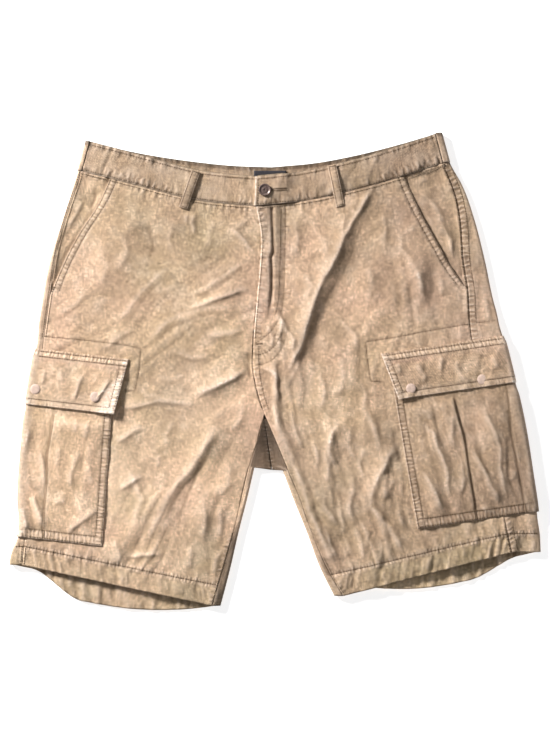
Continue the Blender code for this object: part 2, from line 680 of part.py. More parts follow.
def button(finish):
    """The waist button, dished, on the end of the waistband that laps over."""
    x, y = -13.5, 240.0
    band = float(band_point("left", np.array(x), np.array(219.0), 0.5, BAND_WALL + GAP)[2])
    z = band + BAND_WALL / 2 + GAP
    r = BUTTON_RADIUS
    profile = [(0, 1.9), (0.45 * r, 1.9), (0.62 * r, 2.9), (0.84 * r, 3.2), (0.97 * r, 2.7), (r, 1.7),
               (0.8 * r, 0.4), (0.5 * r, 0), (0, 0)]
    return turned_solid("button", profile, 20, (x, y, z), finish)


def snap(place, finish):
    """A press-stud cap on a flap."""
    flap = FLAP[place.half]
    run = flap.front_foot_y - flap.front_top_y
    down = (place.y - flap.front_top_y - flap.slope * (place.u - flap.front_top_u)) / run
    across = place.u - patch_point(flap, 0.0, down)[0]
    corner = float(ease(1 - (across - SNAP_RADIUS) / 40) * ease((down - 0.2) / 0.8))
    out = CLOTH / 2 + 3 * GAP + 2 * CLOTH + 3.2 * corner
    x, y, z = cloth_point(place.half, np.array(place.u), np.array(place.y), np.array(out))
    r = SNAP_RADIUS
    profile = [(0, 1.5), (0.6 * r, 1.3), (0.9 * r, 0.9), (r, 0.3), (0.95 * r, 0), (0, 0)]
    return turned_solid(place.name, profile, 14, (x, y, z), finish)


def waist_label(finish):
    """A plain woven label on the inside of the back of the waistband."""
    top = BACK_WAIST_SEAM["right"][0].y + BAND_HEIGHT - 3.0
    z = BAND_WALL + GAP + LABEL_WALL / 2
    columns = np.linspace(-28, -28 + LABEL_WIDTH, 5)
    grid = [[(x, top - LABEL_DEPTH * s, z) for x in columns] for s in (0.0, 0.5, 1.0)]
    return cloth("waist_label", [grid], LABEL_WALL, finish)


def main():
    for old in list(bpy.data.objects):
        bpy.data.objects.remove(old)
    khaki = material("khaki_twill", KHAKI, 0.88)
    inside = material("khaki_twill_facing", KHAKI_INSIDE, 0.9)
    horn = material("horn", HORN, 0.32)
    cap = material("snap_cap", CAP_COLOUR, 0.5)
    woven = material("label", LABEL_COLOUR, 0.8)
    for half in ("right", "left"):
        front(half, khaki)
        back(half, khaki)
        facing(half, inside)
        band_front(half, khaki)
        cargo_pocket(half, khaki)
        pocket_flap(half, khaki)
    band_back(khaki)
    for loop in LOOPS:
        belt_loop(loop, khaki)
    for place in SNAPS:
        snap(place, cap)
    button(horn)
    waist_label(woven)


main()
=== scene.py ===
"""Washed khaki cargo shorts, laid out flat on their back, seen from straight above.

Sizes are in millimetres and become metres in the meshes. X points to the wearer's left, Y to the waist, Z up.
Cloth is laid out in u and y, as in the CAD: u is how far out a point lies from the middle, measured along the
cloth and on round the side fold, and y is how far up it lies.
"""

import math
from collections import namedtuple

import bpy
import numpy as np
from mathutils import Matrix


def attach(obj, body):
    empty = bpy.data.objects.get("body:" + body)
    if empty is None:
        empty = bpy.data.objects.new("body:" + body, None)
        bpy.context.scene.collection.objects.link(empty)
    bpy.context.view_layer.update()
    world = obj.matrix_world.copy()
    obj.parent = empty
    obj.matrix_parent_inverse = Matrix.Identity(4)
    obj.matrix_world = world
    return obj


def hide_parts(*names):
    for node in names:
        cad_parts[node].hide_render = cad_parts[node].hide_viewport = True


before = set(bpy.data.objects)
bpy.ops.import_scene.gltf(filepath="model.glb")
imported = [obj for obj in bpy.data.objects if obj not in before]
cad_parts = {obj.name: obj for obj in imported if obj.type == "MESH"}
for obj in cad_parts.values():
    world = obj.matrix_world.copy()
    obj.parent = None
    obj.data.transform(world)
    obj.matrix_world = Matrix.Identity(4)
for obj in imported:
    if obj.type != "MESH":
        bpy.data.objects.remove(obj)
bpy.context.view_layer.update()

# ------------------------------------------------------------------ sizes shared with the CAD
MM = 0.001
CLOTH = 1.2  # wall of one layer
GAP = 0.3  # between pieces that lie on each other
FOLD = 3.2  # radius of the side fold
BAND_WALL = 2.4
BAND_HEIGHT = 39.0
BAND_LEAN = 10.5  # how far the ends of the waistband's top lean in
BAND_LIFT = 1.4  # from the front's middle up to the waistband's
BAND_SUNK = 0.9  # how much lower the band that shows lies
LOOP_WALL = 1.6
LOOP_WIDTH = 11.5
FLY_UNDERLAP = 14.0  # how far the right front goes on below the left one
BAND_UNDERLAP = 36.0
PUFF = 2.2  # how far a front bulges
PATCH_STACK = 2 * (CLOTH + GAP)  # how much the body rises where a pocket and flap also lie under it
PATCH_PUFF = 1.5  # how far a cargo pocket stands out round the side
BAG_PUFF = 2.6  # how far it bulges on the front
PLEAT_DEPTH = 1.6
PLEAT_INSET = 78.0  # from a cargo pocket's front edge to its pleat
PLEAT_WIDTH = 66.0
FLAP_OVERHANG = 9.0  # how far a flap reaches past its pocket's front edge
BUTTON_RADIUS = 8.2
SNAP_RADIUS = 5.4
LABEL_WIDTH, LABEL_DEPTH = 43.0, 18.0
LABEL_LEFT = -28
CENTRE_BACK = -4.0  # x of the seat seam
WEB_TOP = 3.6  # height of the bend where a back turns up between the legs
WEB_GAP = 0.5  # between the two backs
CROTCH_X = -14.0
SEAT_FOOT_Y = -127.0
SHELL = 0.9  # wall of the cloth that shows

# ------------------------------------------------------------------ the cut, as laid flat
# Each edge runs through its (y, u).
OUTLINE = {
    "right": [(304, 251), (266, 261), (199, 282), (150, 297), (57, 314), (-22, 328),
              (-102, 337), (-165, 341), (-212, 340.5), (-232, 348.5), (-254, 351.8)],
    "left": [(317, 220), (278, 231), (247, 248), (199, 265), (152, 277), (88, 291),
             (41, 306), (-7, 318), (-70, 332), (-133, 342), (-181, 349), (-240, 352)],
}
SIDE_SEAM = {
    "right": [(266, 255), (215, 272), (160, 288), (103, 297), (45, 305), (-22, 312),
              (-90, 320), (-160, 326), (-229, 331), (-255, 334)],
    "left": [(277, 222), (230, 240), (190, 246.5), (150, 249), (110, 255), (60, 258),
             (-20, 272), (-90, 284), (-160, 296), (-212, 307), (-238, 313)],
}
SLASH = {
    "right": [(256, 218), (225, 232), (180, 261), (130, 286), (103, 296.4)],
    "left": [(259, 171), (222, 187), (168, 216), (128, 240), (110, 254.4)],
}
CENTRE_FRONT = [(219, -25), (180, -18.5), (140, -20), (95, -24), (38, -28.5), (0, -28),
                (-30, -22), (-55, -14)]
INSEAM = {
    "right": [(-55, 14), (-90, 23), (-126, 34.5), (-165, 44), (-205, 53), (-279, 74),
              (-309, 83)],
    "left": [(-55, -14), (-90, 1), (-130, 17.5), (-165, 32), (-205, 46), (-265, 72),
             (-295, 90)],
}
INNER_OUTLINE = {
    "right": [(-126, 27), (-165, 36), (-212, 48), (-260, 59), (-310, 72)],
    "left": [(-130, 10), (-165, 23), (-212, 42), (-260, 60), (-296, 78)],
}
WAIST_SEAM = {
    "right": [(219, 25), (226.5, 100), (246, 180), (256, 218), (267, 261)],
    "left": [(219, -25), (226, 40), (239, 100), (259, 171), (278.5, 231)],
}
BACK_WAIST_SEAM = {
    "right": [(232, 4), (234, 60), (239, 110), (251, 190), (267, 261)],
    "left": [(232, -4), (238, 60), (247, 110), (264, 180), (278.5, 231)],
}
# Rows across each half: y at the front's inner edge, at its outer edge and at the side seam, how much of the
# waist seam's bow the row has, and how far the back hangs below it.
Level = namedtuple("Level", "inner_y outer_y seam_y bow drop")
LEVEL = {
    "right": {
        "waist": Level(219, 256, 266, 1.0, 0),
        "hip": Level(150, 180, 180, 0.5, 0),
        "slash": Level(95, 103, 103, 0.2, 0),
        "fly_end": Level(45, 50, 50, 0.0, 0),
        "crotch": Level(-55, -36, -36, 0.0, 0),
        "web": Level(-126, -100, -100, 0.0, 4),
        "thigh": Level(-205, -168, -168, 0.0, 15),
        "hem_seam": Level(-281, -229, -229, 0.0, 27),
        "hem": Level(-309, -255, -255, 0.0, 30),
    },
    "left": {
        "waist": Level(219, 259, 277, 1.0, 0),
        "hip": Level(150, 186, 190, 0.5, 0),
        "slash": Level(95, 110, 110, 0.2, 0),
        "fly_end": Level(45, 60, 60, 0.0, 0),
        "crotch": Level(-55, -20, -20, 0.0, 0),
        "web": Level(-130, -86, -86, 0.0, 3),
        "thigh": Level(-205, -152, -152, 0.0, 9),
        "hem_seam": Level(-267, -212, -212, 0.0, 16),
        "hem": Level(-296, -238, -238, 0.0, 18),
    },
}
# Where that hang starts, is full, wanes and ends, as shares of the back's width from the side.
HANG_SHARE, HANG_FULL, HANG_WANES = 0.09, 0.34, 0.4
HANG_END = {"right": 1.0, "left": 0.82}
Patch = namedtuple("Patch", "front_top_u front_top_y front_foot_u front_foot_y width slope")
POCKET = {
    "right": Patch(211, 3, 228, -230, 214, 0.115),
    "left": Patch(150, 12, 188, -207, 228, 0.145),
}
FLAP = {
    "right": Patch(193, 17, 212, -56, 234, 0.115),
    "left": Patch(140, 24, 163, -36, 250, 0.145),
}
Place = namedtuple("Place", "name half u y")
SNAPS = [
    Place("snap_right_front", "right", 237, -31),
    Place("snap_right_side", "right", 316, -21),
    Place("snap_left_front", "left", 179, -19),
    Place("snap_left_side", "left", 273, -7),
]
Loop = namedtuple("Loop", "name half top_x top_y foot_x foot_y")
LOOPS = [
    Loop("belt_loop_right", "right", -104, 265, -121, 216),
    Loop("belt_loop_left", "left", 75, 273, 86.5, 218.5),
]
RIDGES = [  # x and y of both ends, width and height
    (116, 232, 18, 8, 15, 3.6),
    (-176, 8, -36, 116, 17, 2.0),
    (-112, -34, -34, 6, 12, 2.0),
    (-60, 40, -190, 150, 20, 1.2),
    (-62, -48, -128, -158, 15, 2.4),
    (-150, -150, -196, -236, 14, 2.0),
    (-84, -130, -104, -232, 13, 1.8),
    (30, -120, 78, -236, 13, 2.6),
    (84, -60, 60, -186, 16, 1.8),
    (128, -120, 150, -196, 13, 2.4),
    (178, 206, 196, 88, 14, 1.8),
    (64, 60, 118, -40, 15, 1.6),
    (26, 190, 40, 90, 13, 1.4),
]

# ------------------------------------------------------------------ creases that show, placed one by one
# Each row is a crease's height, how far it falls off on the side that faces the light and on the shaded side,
# and the points in plan that it runs through.
BODY_CREASES = [
    # the long fold down the left front
    (2.8, 18, 4.3, (137, 269), (128, 246), (112, 215), (99, 194), (89, 174), (82, 157), (73, 140), (64, 125),
     (57, 106), (50, 86), (44, 69), (37, 47), (31, 28), (19, 3), (12, -8)),
    (-0.8, 10, 9, (138, 226), (116, 190), (101, 158), (85, 124), (69, 94), (54, 62), (46, 30)),
    (1.3, 9, 6, (164, 206), (166, 162), (181, 142), (192, 122), (192, 100), (184, 78)),
    (-0.8, 7, 12, (196, 158), (204, 134), (208, 112), (200, 82)),
    (0.8, 5, 3, (186, 138), (190, 122), (196, 108)),
    (0.8, 5, 3, (216, 128), (222, 114), (219, 100)),
    (1.0, 7, 4, (142, 214), (146, 190), (140, 160)),
    (0.8, 5, 3, (166, 182), (188, 190)),
    (0.9, 8, 4, (78, 80), (103, 50), (112, 22)),
    (0.9, 5, 4, (92, 212), (88, 190), (90, 172)),
    (0.9, 6, 5, (22, 210), (30, 176), (26, 150)),
    (0.8, 7, 5, (48, 196), (64, 170), (70, 148)),
    (1.0, 8, 5, (36, 138), (46, 112), (38, 88)),
    (0.8, 9, 6, (120, 150), (128, 116), (118, 84)),
    (0.7, 8, 6, (150, 128), (160, 98), (152, 66)),
    # the left thigh
    (2.6, 9, 7, (-8, -20), (2, -62), (12, -91), (23, -120), (36, -147), (47, -179), (57, -203), (69, -238),
     (76, -262)),
    (1.2, 5, 3, (20, -48), (27, -81), (37, -111)),
    (1.2, 5, 3, (46, -86), (54, -113), (55, -134)),
    (2.6, 9, 7, (92, -58), (76, -84), (72, -104), (80, -134)),
    (1.8, 12, 6, (116, -40), (134, -88), (142, -114)),
    (2.8, 11, 7, (164, -84), (149, -115), (137, -140), (126, -164), (127, -180), (141, -197), (158, -219),
     (176, -243)),
    (1.0, 7, 4, (104, -66), (98, -96), (108, -126)),
    (1.0, 5, 3, (62, -96), (70, -124), (64, -150)),
    (1.0, 5, 3, (84, -176), (92, -198), (90, -222)),
    (0.9, 5, 3, (112, -196), (122, -214), (118, -236)),
    (1.3, 6, 4, (98, -128), (104, -152), (99, -179), (106, -204)),
    (1.4, 8, 4, (163, -136), (150, -158), (144, -172)),
    (-2.2, 6, 9, (152, -70), (160, -104), (166, -128)),
    (1.2, 6, 4, (68, -208), (78, -246)),
    (1.0, 6, 4, (92, -214), (100, -246)),
    (1.1, 5, 3, (104, -200), (113, -226), (115, -256)),
    (1.0, 5, 3, (62, -192), (72, -222), (84, -262)),
    (1.1, 5, 3, (134, -212), (140, -232), (138, -252)),
    (1.2, 7, 4, (60, -150), (70, -180), (88, -206)),
    (1.0, 8, 5, (110, -4), (120, -30), (116, -60)),
    (1.3, 8, 5, (58, 6), (66, -26), (60, -58)),
    (1.0, 7, 5, (88, 26), (92, -8), (84, -40)),
    (1.1, 5, 4, (120, -96), (112, -122), (118, -146)),
    (0.9, 5, 3, (160, -180), (170, -206)),
    (1.0, 6, 4, (34, 36), (30, 8), (12, -24)),
    # the right hip, from the fly outwards
    (1.7, 8, 3, (-20, 151), (-34, 166), (-50, 185), (-66, 198)),
    (1.9, 9, 3, (-26, 111), (-48, 108), (-72, 99), (-92, 91), (-122, 82)),
    (1.4, 10, 6, (-28, 152), (-60, 134), (-92, 110), (-124, 96)),
    (1.6, 5, 4, (-104, 212), (-107, 196), (-105, 178)),
    (1.2, 4, 3, (-114, 210), (-116, 192)),
    (1.6, 14, 9, (-216, 52), (-186, 92), (-154, 126), (-128, 146)),
    (1.5, 13, 8, (-176, 36), (-140, 66), (-96, 84), (-48, 88)),
    (1.2, 9, 6, (-292, 72), (-262, 90), (-240, 112)),
    (1.1, 8, 5, (-236, 20), (-200, 52), (-176, 60)),
    (-2.4, 20, 16, (-172, 200), (-160, 172), (-166, 144)),
    (1.0, 9, 7, (-206, 196), (-196, 160), (-214, 126)),
    (0.9, 7, 5, (-132, 206), (-138, 176), (-130, 150)),
    (0.9, 8, 5, (-74, 206), (-86, 184), (-84, 160)),
    (1.0, 5, 3, (-34, 206), (-42, 196), (-58, 190)),
    (0.9, 8, 5, (-236, 170), (-222, 140), (-232, 108)),
    (0.8, 4, 3, (-24, 100), (-34, 92), (-32, 80)),
    (1.2, 9, 6, (-28, 64), (-62, 52), (-104, 50)),
    (1.1, 10, 6, (-140, 30), (-110, 20), (-78, 24)),
    (1.0, 10, 7, (-166, -4), (-140, -12), (-112, -4)),
    # the right thigh
    (2.3, 10, 4, (-30, 6), (-52, -8), (-70, -15), (-92, -27), (-108, -37)),
    (1.7, 6, 3.5, (-96, -45), (-124, -42), (-152, -39), (-182, -44), (-212, -50)),
    (1.6, 8, 4, (-168, -70), (-184, -77), (-212, -95)),
    (1.6, 8, 4, (-166, -134), (-187, -145), (-210, -158)),
    (2.6, 15, 9, (-70, -64), (-94, -98), (-114, -130), (-138, -162), (-156, -196), (-168, -228)),
    (-1.4, 9, 9, (-80, -98), (-106, -136), (-124, -182), (-130, -216)),
    (1.0, 6, 3, (-98, -162), (-92, -194), (-96, -232)),
    (1.4, 6, 4, (-74, -176), (-70, -200), (-76, -226)),
    (1.2, 5, 3, (-154, -108), (-152, -128)),
    (1.8, 5, 3.5, (-144, -240), (-172, -241), (-204, -243)),
    (1.6, 7, 4, (-214, -218), (-208, -234), (-204, -254)),
    (1.3, 5, 4, (-112, -228), (-114, -262)),
    (1.5, 10, 6, (-196, -118), (-176, -166), (-190, -212)),
    (1.2, 8, 5, (-56, -120), (-62, -150), (-80, -170)),
    (1.2, 7, 5, (-62, -228), (-78, -250), (-84, -274)),
    (1.1, 8, 5, (-130, -60), (-146, -84), (-140, -104)),
    (1.1, 9, 6, (-186, -8), (-170, -30), (-140, -36)),
    (1.0, 8, 5, (-38, -36), (-46, -62), (-64, -82)),
    # the hip pockets' facings and the backs that wrap round the sides
    (-2.4, 6, 8, (-238, 246), (-236, 230), (-246, 212)),
    (2.2, 7, 4, (-252, 232), (-262, 206), (-272, 184)),
    (1.8, 4, 3, (-284, 172), (-291, 146), (-297, 124)),
    (1.1, 5, 4, (176, 246), (190, 251), (206, 255)),
    (1.9, 8, 5, (214, 202), (230, 172), (233, 146)),
    (1.6, 5, 4, (204, 226), (216, 212), (222, 190)),
    (1.3, 6, 4, (277, 104), (284, 82), (284, 66)),
    (1.0, 6, 4, (266, 176), (270, 150), (266, 130)),
    (0.9, 4, 3, (256, 226), (262, 206)),
    (1.2, 5, 4, (318, -200), (326, -216), (322, -232)),
    (1.2, 5, 4, (-318, -232), (-330, -240), (-336, -252)),
    # short ones at the fly
    (1.4, 4, 2.5, (2, 84), (12, 66), (14, 46)),
    (2.2, 5, 2.5, (11, 78), (8, 58), (6, 44), (5, 32), (8, 22)),
    (2.2, 5, 3, (7, 20), (-2, 8), (1, -12), (3, -46)),
    (1.4, 4, 2.5, (-8, 66), (-2, 46), (-6, 30)),
    (1.5, 4, 2.5, (10, 60), (24, 44), (22, 24)),
    (-1.8, 4, 5, (-35, 32), (-34, 8), (-31, -16)),
    (1.4, 4, 3, (-22, 8), (-8, 2), (6, -14)),
]
FLY_TROUGH = [(-4, 219), (-3, 192), (-2, 158), (-5, 151), (-4, 138), (-4, 110), (-6, 90), (-10, 70)]
POCKET_CREASES = {
    "right": [
        (1.6, 12, 4, (-231, -176), (-248, -192), (-266, -203), (-278, -216)),
        (1.1, 7, 4, (-256, -100), (-267, -130), (-271, -158)),
        (1.0, 6, 4, (-262, -56), (-264, -84)),
        (1.8, 7, 4, (-322, -72), (-330, -96), (-337, -118)),
        (1.6, 6, 4, (-310, -98), (-305, -130), (-304, -160)),
        (2.4, 6, 3.5, (-322, -158), (-312, -184), (-304, -206)),
        (1.8, 5, 3, (-338, -172), (-332, -192), (-326, -208)),
        (1.3, 5, 3, (-294, -173), (-284, -170), (-274, -172)),
        (1.0, 7, 5, (-246, -64), (-250, -92)),
        (0.9, 6, 4, (-284, -96), (-288, -130)),
        (0.9, 5, 4, (-244, -120), (-240, -150)),
    ],
    "left": [
        (2.0, 9, 4, (192, -60), (209, -80), (213, -101), (225, -126), (230, -178)),
        (1.4, 6, 3, (191, -124), (208, -154), (226, -190)),
        (1.9, 9, 3.5, (256, -96), (265, -112), (279, -136), (293, -164), (302, -182)),
        (2.0, 8, 3.5, (274, -34), (284, -68), (296, -101), (296, -130), (306, -176)),
        (1.0, 6, 4, (324, -62), (340, -100)),
        (0.9, 5, 3, (200, -44), (204, -64)),
        (1.2, 6, 4, (242, -110), (248, -140), (242, -168)),
        (1.0, 5, 4, (272, -172), (280, -182), (296, -184)),
        (1.0, 7, 4, (236, -50), (232, -84), (238, -104)),
        (1.0, 5, 4, (316, -128), (308, -146)),
    ],
}
FLAP_CREASES = {
    "right": [
        (1.2, 5, 3, (-304, 6), (-306, -20)),
        (1.5, 6, 3, (-255, 2), (-259, -22), (-266, -42)),
        (2.2, 6, 3, (-216, -6), (-226, -24), (-242, -42)),
        (0.8, 5, 4, (-282, 8), (-280, -14)),
        (0.8, 5, 4, (-236, 2), (-238, -16)),
    ],
    "left": [
        (1.1, 5, 3.5, (160, 14), (164, -4)),
        (1.2, 6, 3.5, (184, 14), (196, -8), (194, -20)),
        (1.0, 5, 4, (243, 20), (240, 8), (254, -14)),
        (1.0, 5, 4, (222, 22), (218, 0)),
        (0.9, 5, 4, (286, 24), (294, 4)),
        (0.8, 5, 4, (174, -26), (186, -30)),
    ],
}


# ------------------------------------------------------------------ curves, bumps and noise
def hermite(xs, values, x):
    """A smooth curve through values at xs, going on straight past its ends."""
    x = np.asarray(x, float)
    slopes = np.gradient(values, xs)
    i = np.clip(np.searchsorted(xs, x) - 1, 0, len(xs) - 2)
    step = xs[i + 1] - xs[i]
    s = (x - xs[i]) / step
    inside = np.clip(s, 0, 1)
    cubic = (
        (1 + 2 * inside) * (1 - inside) ** 2 * values[i]
        + inside * (1 - inside) ** 2 * step * slopes[i]
        + inside**2 * (3 - 2 * inside) * values[i + 1]
        + inside**2 * (inside - 1) * step * slopes[i + 1]
    )
    past = np.where(s > 1, (s - 1) * slopes[i + 1], np.where(s < 0, s * slopes[i], 0.0)) * step
    return cubic + past


def along(edge, y):
    """u of an edge at a height."""
    points = np.array(sorted(edge), float)
    return hermite(points[:, 0], points[:, 1], y)


def height_of(edge, u):
    """y of an edge that runs across."""
    points = np.array(sorted(edge, key=lambda point: point[1]), float)
    return hermite(points[:, 1], points[:, 0], u)


def bell(d, width):
    """1 where d is 0, falling off over width on both sides."""
    return np.exp(-((d / width) ** 2))


def stacked(*parts):
    """Values broadcast together, as the last axis of one array."""
    return np.stack(np.broadcast_arrays(*parts), axis=-1)


def ease(t):
    t = np.clip(t, 0, 1)
    return t * t * (3 - 2 * t)


def side_of(half):
    return -1.0 if half == "right" else 1.0


LATTICE = np.random.RandomState(11).rand(8, 64, 64)


def noise(x, y, size, layer):
    """Smooth noise from -1 to 1, its bumps about size apart."""
    x, y = np.asarray(x, float) / size + 31.7 * layer, np.asarray(y, float) / size + 17.3 * layer
    i, j = np.floor(x).astype(int), np.floor(y).astype(int)
    fx, fy = ease(x - i), ease(y - j)
    table = LATTICE[layer % 8]
    a, b = table[i % 64, j % 64], table[(i + 1) % 64, j % 64]
    c, d = table[i % 64, (j + 1) % 64], table[(i + 1) % 64, (j + 1) % 64]
    return 2 * ((a * (1 - fx) + b * fx) * (1 - fy) + (c * (1 - fx) + d * fx) * fy) - 1


def facets(x, y, pitch, layer):
    """Flat facets about pitch across that meet in sharp ridges and valleys, from about -1 to 1."""
    total = 0.0
    for sign, k in ((1, layer), (-1, layer + 3)):
        px, py = np.asarray(x, float) / pitch + 13.7 * k, np.asarray(y, float) / pitch + 7.9 * k
        i, j = np.floor(px).astype(int), np.floor(py).astype(int)
        across, up = LATTICE[k % 8], LATTICE[(k + 1) % 8]
        nearest = np.full(np.shape(px), 9.0)
        for di in (-1, 0, 1):
            for dj in (-1, 0, 1):
                a, b = (i + di) % 64, (j + dj) % 64
                away = (px - i - di - across[a, b]) ** 2 + (py - j - dj - up[a, b]) ** 2
                nearest = np.minimum(nearest, away)
        total = total + sign * nearest
    return 2.2 * total


def line_fields(points, x, y):
    """Signed distance to a line (left of its run is positive), the share of it run, and its length."""
    points = np.asarray(points, float)
    runs = np.linalg.norm(np.diff(points, axis=0), axis=1)
    starts = np.concatenate([[0], np.cumsum(runs)])
    best = np.full(np.shape(x), 1e9)
    signed, share = np.zeros(np.shape(x)), np.zeros(np.shape(x))
    for k, run in enumerate(runs):
        ax, ay = (points[k + 1] - points[k]) / run
        px, py = x - points[k, 0], y - points[k, 1]
        forward = np.clip(px * ax + py * ay, 0, run)
        away = np.hypot(px - ax * forward, py - ay * forward)
        nearer = away < best
        best = np.where(nearer, away, best)
        signed = np.where(nearer, np.where(ax * py - ay * px >= 0, away, -away), signed)
        share = np.where(nearer, (starts[k] + forward) / starts[-1], share)
    return signed, share, starts[-1]


def smooth_line(points, step=6.0):
    """More points along a smooth curve through the ones given."""
    points = np.asarray(points, float)
    runs = np.concatenate([[0], np.cumsum(np.linalg.norm(np.diff(points, axis=0), axis=1))])
    at = np.linspace(0, runs[-1], max(3, int(runs[-1] / step) + 1))
    if len(points) < 3:
        return stacked(np.interp(at, runs, points[:, 0]), np.interp(at, runs, points[:, 1]))
    return stacked(hermite(runs, points[:, 0], at), hermite(runs, points[:, 1], at))


LIGHT_X, LIGHT_Y = -0.78, 0.62  # the way to the light, in plan
LIT_SPREAD = 1.5  # how much wider a crease's lit side is than its row says
TAPER = 34.0  # how far in from its ends a long crease reaches its full height


def within(line, x, y, reach):
    """Whether places lie within reach of a line's bounds."""
    low, high = line.min(axis=0) - reach, line.max(axis=0) + reach
    return (x > low[0]) & (x < high[0]) & (y > low[1]) & (y < high[1])


def crease_fields(table, x, y):
    """Height, painted highlight along crests and painted shade at feet that a table's creases give at places
    in plan.
    """
    height, wear_and_highlight, grime_and_shade = np.zeros((3,) + np.shape(x))
    x, y = (x + 2.2 * noise(x, y, 48, 3) + 1.3 * noise(x, y, 13, 5),
            y + 2.2 * noise(x, y, 48, 4) + 1.3 * noise(x, y, 13, 6))
    for tall, lit, shade, *points in table:
        line = np.array(points, float)
        near = within(line, x, y, 3 * max(LIT_SPREAD * lit, shade))
        if not near.any():
            continue
        d, share, run = line_fields(line, x[near], y[near])
        way = line[-1] - line[0]
        lit_is_left = (-way[1] * LIGHT_X + way[0] * LIGHT_Y) > 0
        off = np.where((d > 0) == lit_is_left, np.abs(d), -np.abs(d))
        width = np.where(off > 0, LIT_SPREAD * lit, shade)
        end = min(0.3, TAPER / run)
        taper = ease(share / end) * ease((1 - share) / end)
        size = tall * taper * (1 + 0.3 * noise(share * run, 0 * share, 26, 5))
        height[near] += size * np.exp(-(np.abs(off / width) ** np.where(off > 0, 1.1, 1.2)))
        # painted highlight along each crest, and painted shade at the foot of the side away from the light
        crisp = 0.5 * np.clip(np.abs(size) - 0.3, 0, 1.3)
        foot = 0.0 if tall < 0 else 0.8 * shade
        wear_and_highlight[near] += (tall > 0) * crisp * bell(off - 1.5, 3.4)
        grime_and_shade[near] += crisp * bell(off + foot, 1.8)
    return height, wear_and_highlight, grime_and_shade


def creases(table, x, y):
    return crease_fields(table, x, y)[0]


# ------------------------------------------------------------------ the flattened tube, as in the CAD
def patch_point(patch, across, down):
    """u and y of a place on a pocket or flap."""
    u = patch.front_top_u + (patch.front_foot_u - patch.front_top_u) * down + across
    y = patch.front_top_y + (patch.front_foot_y - patch.front_top_y) * down + patch.slope * across
    return u, y


def pocket_front(bag, y):
    """u of a cargo pocket's front edge at a height."""
    share = (y - bag.front_top_y) / (bag.front_foot_y - bag.front_top_y)
    return bag.front_top_u + (bag.front_foot_u - bag.front_top_u) * share


def patch_zone(half, u, y):
    """1 under the cargo pocket and its flap, where the cloth makes room for their stack, 0 away from them."""
    bag, flap = POCKET[half], FLAP[half]
    across = u - (pocket_front(bag, y) - FLAP_OVERHANG)
    top = flap.front_top_y + bag.slope * (across - FLAP_OVERHANG) + 8
    foot = bag.front_foot_y + bag.slope * (across - FLAP_OVERHANG) - 6
    beside = np.maximum(np.maximum(-across - 2, across - flap.width - 22), 0)
    beyond = np.maximum(np.maximum(y - top, foot - y), 0)
    return 1 - ease(np.hypot(beside, beyond) / 30)


def under_patch(half, u, y):
    """1 well inside the cargo pocket and flap, 0 outside them."""
    bag, flap = POCKET[half], FLAP[half]
    across = u - pocket_front(bag, y)
    top = flap.front_top_y + bag.slope * across
    foot = bag.front_foot_y + bag.slope * across
    return ease((across + 4) / 8) * ease((top - y + 4) / 8) * ease((y - foot + 4) / 8)


def fold_start(half, y):
    """u at which the upper layer starts to turn round the side."""
    outline = along(OUTLINE[half], y) - CLOTH / 2 - FOLD
    return outline - (CLOTH + GAP + PATCH_PUFF) * patch_zone(half, outline, y)


def turned(half, u, y):
    """The u below a place, or the place above a u that lies below."""
    return 2 * fold_start(half, y) + math.pi * FOLD - u


def ridges(x, y):
    """The broad folds that the solids have too."""
    total = 0.0
    for x0, y0, x1, y1, width, height in RIDGES:
        run = math.hypot(x1 - x0, y1 - y0)
        ax, ay = (x1 - x0) / run, (y1 - y0) / run
        forward = (x - x0) * ax + (y - y0) * ay
        aside = (x - x0) * ay - (y - y0) * ax
        taper = ease(forward / (0.3 * run)) * ease((run - forward) / (0.3 * run))
        total = total + height * taper * bell(aside, width)
    return total


def top_height(half, u, y):
    """Height of the upper layer's middle in the CAD."""
    x = side_of(half) * u
    zone = patch_zone(half, u, y)
    from_side = ease((fold_start(half, y) - u) / 70)
    in_leg = ease((-60 - y) / 90)
    from_inseam = 1 - in_leg * (1 - ease((u - along(INSEAM[half], y)) / 60))
    clear = 1 - patch_zone(half, u - 12, y)
    calm_waist = ease((height_of(WAIST_SEAM[half], u) - y - 14) / 30)
    near_hem = 1 - 0.6 * ease((-215 - y) / 50)
    fly_side = ease((np.abs(x - along(CENTRE_FRONT, y)) - 4) / 26)
    bulge = PUFF * from_side * from_inseam * (1 - zone)
    folds = ridges(x, y) * from_side * from_inseam * clear * calm_waist * near_hem * fly_side
    return CLOTH / 2 + 2 * FOLD + PATCH_STACK * zone + bulge + folds


def under_height(half, u, y):
    return CLOTH / 2 + PATCH_STACK * patch_zone(half, turned(half, u, y), y)


def cloth_point(half, u, y, out=0.0):
    """A point out from the cloth's middle, above, round the side fold or below."""
    u, y, out = np.broadcast_arrays(np.asarray(u, float), np.asarray(y, float), np.asarray(out, float))
    start = fold_start(half, y)
    end = start + math.pi * FOLD
    high = top_height(half, np.minimum(u, start), y)
    low = under_height(half, np.minimum(start + end - u, start), y)
    angle = np.clip((u - start) / FOLD, 0, math.pi)
    middle, tall = (high + low) / 2, (high - low) / 2
    x = np.where(u <= start, u, np.where(u >= end, start + end - u, start + (FOLD + out) * np.sin(angle)))
    z = np.where(u <= start, high + out, np.where(u >= end, low - out, middle + (tall + out) * np.cos(angle)))
    return stacked(side_of(half) * x, y, z)


def inner_point(half, angle, y):
    """A point on the fold at the inner side of a leg."""
    start = along(INNER_OUTLINE[half], y) + CLOTH / 2 + FOLD
    high, low = top_height(half, start, y), under_height(half, start, y)
    x = start - FOLD * np.sin(angle)
    z = (high + low) / 2 + (high - low) / 2 * np.cos(angle)
    return stacked(side_of(half) * x, y + 0 * x, z)


def inner_edge(half, y):
    """u of a front panel's inner edge."""
    crotch = LEVEL[half]["crotch"].inner_y
    return np.where(y >= crotch, side_of(half) * along(CENTRE_FRONT, y), along(INSEAM[half], y))


